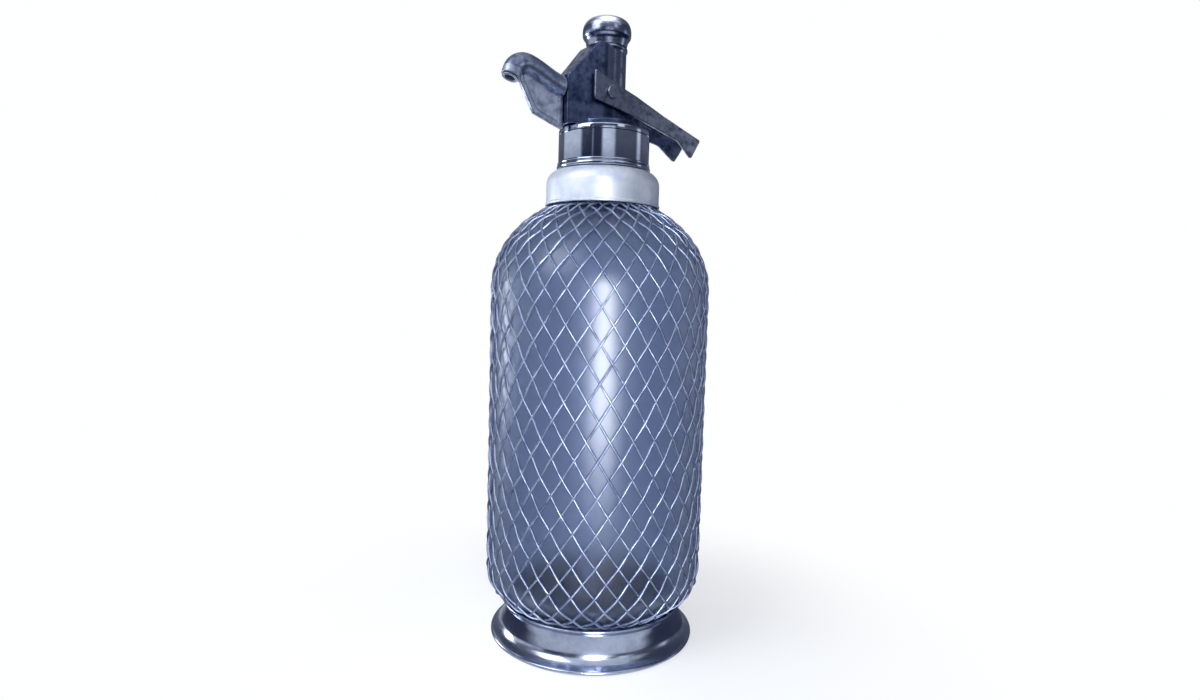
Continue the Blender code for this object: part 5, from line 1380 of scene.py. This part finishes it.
def makeWorld():
    # a pale room for the eye, and a studio of light panels and dark gaps for what shines
    world = bpy.data.worlds.new("studio")
    world.use_nodes = True
    tree = world.node_tree
    tree.nodes.clear()
    direction = addNode(tree, "ShaderNodeTexCoord").outputs["Generated"]
    bearing, height = bearingAndHeight(tree, direction)
    share = bandRamp(tree, bearing, studio["levelBands"])
    for bands, start in (("gapBands", "gapStart"), ("raisedBands", "raisedStart")):
        risen = mapRange(tree, height, *studio[start], smooth=True)
        share = mixColours(tree, risen, share, bandRamp(tree, bearing, studio[bands]))
    overhead = mapRange(tree, height, *studio["ceilingStart"], smooth=True)
    panels = darkToBright(tree, mixColours(tree, overhead, share, studio["ceiling"]))
    fill = darkToBright(tree, bandRamp(tree, bearing, studio["fillBands"]))
    path = addNode(tree, "ShaderNodeLightPath").outputs
    seen = calc(tree, "MAXIMUM", path["Is Camera Ray"], path["Is Transmission Ray"])
    shining = mixColours(tree, path["Is Glossy Ray"], fill, panels)
    colour = mixColours(tree, seen, shining, studio["backdrop"])
    light = addNode(tree, "ShaderNodeBackground", {"Color": colour, "Strength": 1.0}).outputs[0]
    addNode(tree, "ShaderNodeOutputWorld", {"Surface": light})
    bpy.context.scene.world = world


floor = {
    "radius": 1.4,
    "colour": (0.95, 0.97, 1.0, 1),
    "roughness": 0.9,
    "specular": 0.1,
    "fade": (0.07, 0.2),       # distances between which the floor turns into the backdrop
    "leastGlow": 0.55,         # share of the backdrop in it nearest the siphon
    "cardsEnd": (0.22, 0.36),  # distances between which the near cards on it give way to the far ones
}


def makeFloor():
    bm = bmesh.new()
    bmesh.ops.create_circle(bm, cap_ends=True, segments=general["mediumSides"], radius=floor["radius"])
    material, tree, shader = newMaterial("paleFloor")
    ground = newPiece("floor", bm, material)
    shader.inputs["Base Color"].default_value = floor["colour"]
    shader.inputs["Roughness"].default_value = floor["roughness"]
    shader.inputs["Specular IOR Level"].default_value = floor["specular"]
    place = objectPlace(tree)
    away = addNode(tree, "ShaderNodeVectorMath", {0: place}, operation="LENGTH").outputs["Value"]
    fade = mapRange(tree, away, *floor["fade"], floor["leastGlow"], smooth=True)
    path = addNode(tree, "ShaderNodeLightPath").outputs
    faded = calc(tree, "MULTIPLY", path["Is Camera Ray"], fade)
    seen = calc(tree, "MAXIMUM", faded, path["Is Transmission Ray"])
    bearing = bearingAndHeight(tree, place)[0]
    far = mapRange(tree, away, *floor["cardsEnd"], smooth=True)
    cards = darkToBright(tree, mixColours(tree, far, bandRamp(tree, bearing, studio["floorBands"]),
                                          bandRamp(tree, bearing, studio["farFloorBands"])))
    direct = calc(tree, "SUBTRACT", 1.0, path["Is Transmission Ray"])
    mirrored = calc(tree, "MULTIPLY", path["Is Glossy Ray"], direct)
    colour = mixColours(tree, mirrored, studio["backdrop"], cards)
    glow = addNode(tree, "ShaderNodeEmission", {"Color": colour, "Strength": 1.0}).outputs[0]
    glowing = calc(tree, "MAXIMUM", seen, mirrored)
    mixed = addNode(tree, "ShaderNodeMixShader", {0: glowing, 1: shader.outputs[0], 2: glow}).outputs[0]
    tree.links.new(mixed, tree.nodes["Material Output"].inputs["Surface"])


lampColour = (0.94, 0.97, 1.0)

lamps = {
    # name: degrees to the right of the camera, distance, height, width, depth, power, height it aims at
    "frontPanel": (5.0, 0.5, 0.165, 0.13, 0.2, 2.4, 0.15),
    "softBox": (-52.0, 0.75, 0.7, 0.5, 0.5, 2.6, 0.17),
    "leftPanel": (-112.0, 0.6, 0.13, 0.16, 0.24, 0.8, 0.13),
    "lowPanel": (6.0, 0.5, 0.04, 0.2, 0.1, 1.3, 0.07),
    "collarPanel": (2.0, 0.5, 0.26, 0.1, 0.08, 0.65, 0.215),
    "spoutPanel": (68.0, 0.5, 0.27, 0.2, 0.2, 0.2, 0.245),
    "capPanel": (10.0, 0.12, 0.7, 0.3, 0.3, 0.8, 0.29),
}

# the pieces that a lamp lights, for each lamp that doesn't light them all
lampTargets = {
    "frontPanel": ("bottleGlass", "wireNet", "footShell", "floor"),
    "lowPanel": ("bottleGlass", "wireNet"),
    "collarPanel": ("neckCollar",),
    "spoutPanel": ("spoutCasting", "nozzleTip"),
    "capPanel": ("chargingCap",),
}


def makeLamps():
    for name, (aside, distance, height, width, depth, power, aim) in lamps.items():
        data = bpy.data.lights.new(name, "AREA")
        data.shape = "RECTANGLE"
        data.size, data.size_y = width, depth
        data.energy = power
        data.color = lampColour
        lamp = addObject(name, data)
        lamp.location = placeRound(camera["azimuth"] + math.radians(aside), distance, height)
        aimed = Vector((0.0, 0.0, aim)) - lamp.location
        lamp.rotation_mode = "QUATERNION"
        lamp.rotation_quaternion = aimed.to_track_quat("-Z", "Y")
        lamp.visible_camera = False
        if name in lampTargets:
            lit = bpy.data.collections.new(name + "Targets")
            for target in lampTargets[name]:
                lit.objects.link(bpy.data.objects[target])
            lamp.light_linking.receiver_collection = lit


# assembly


makeCamera()
print("camera set")

wornSheenPlate = makeWornSheenPlate()
softGrain = makeSoftGrain()
plates = {name: groupMaterial(name, wornSheenPlate, look, 1.0) for name, look in plateLooks.items()}
grains = {name: groupMaterial(name, softGrain, look, 0.0) for name, look in grainLooks.items()}
print("plating and grain made:", len(plates) + len(grains), "materials")

makeBottle(makeGlassMaterial())
makeDipTube(grains["milkyPlastic"])
print("bottle made")

makeNet(plates["netWire"])

makeFoot(plates["footMetal"], grains["darkFelt"], grains["litGreyRubber"])
makeCollar(makeCollarMaterial())
makeNeckRings(plates["turnedBrass"])
makeUnionNut(plates["nutChrome"])
print("foot, collar and nut made")

makeHead(plates["headPlate"], plates["paintedShadingPlate"])
makeSpout(plates["spoutPlate"], plates["finSheenPlate"])
# the tip gets the fin's lighter plate, a painted highlight round the mouth
makeNozzleTip(plates["finSheenPlate"])
makeLever(plates["leverPlate"])
makeLeverPin(plates["leverPlate"])
makeCap(plates["capPlate"], plates["paintedShadingPlate"])
makeValveSpring(plates["plainSteel"])
dressInnerPieces({"steel": plates["plainSteel"], "brass": plates["turnedBrass"],
                  "rubber": grains["blackRubber"]})
print("head made")

makeWorld()
makeFloor()
makeLamps()
bpy.context.scene.view_settings.view_transform = "Standard"
print("studio lit")

bpy.context.view_layer.update()
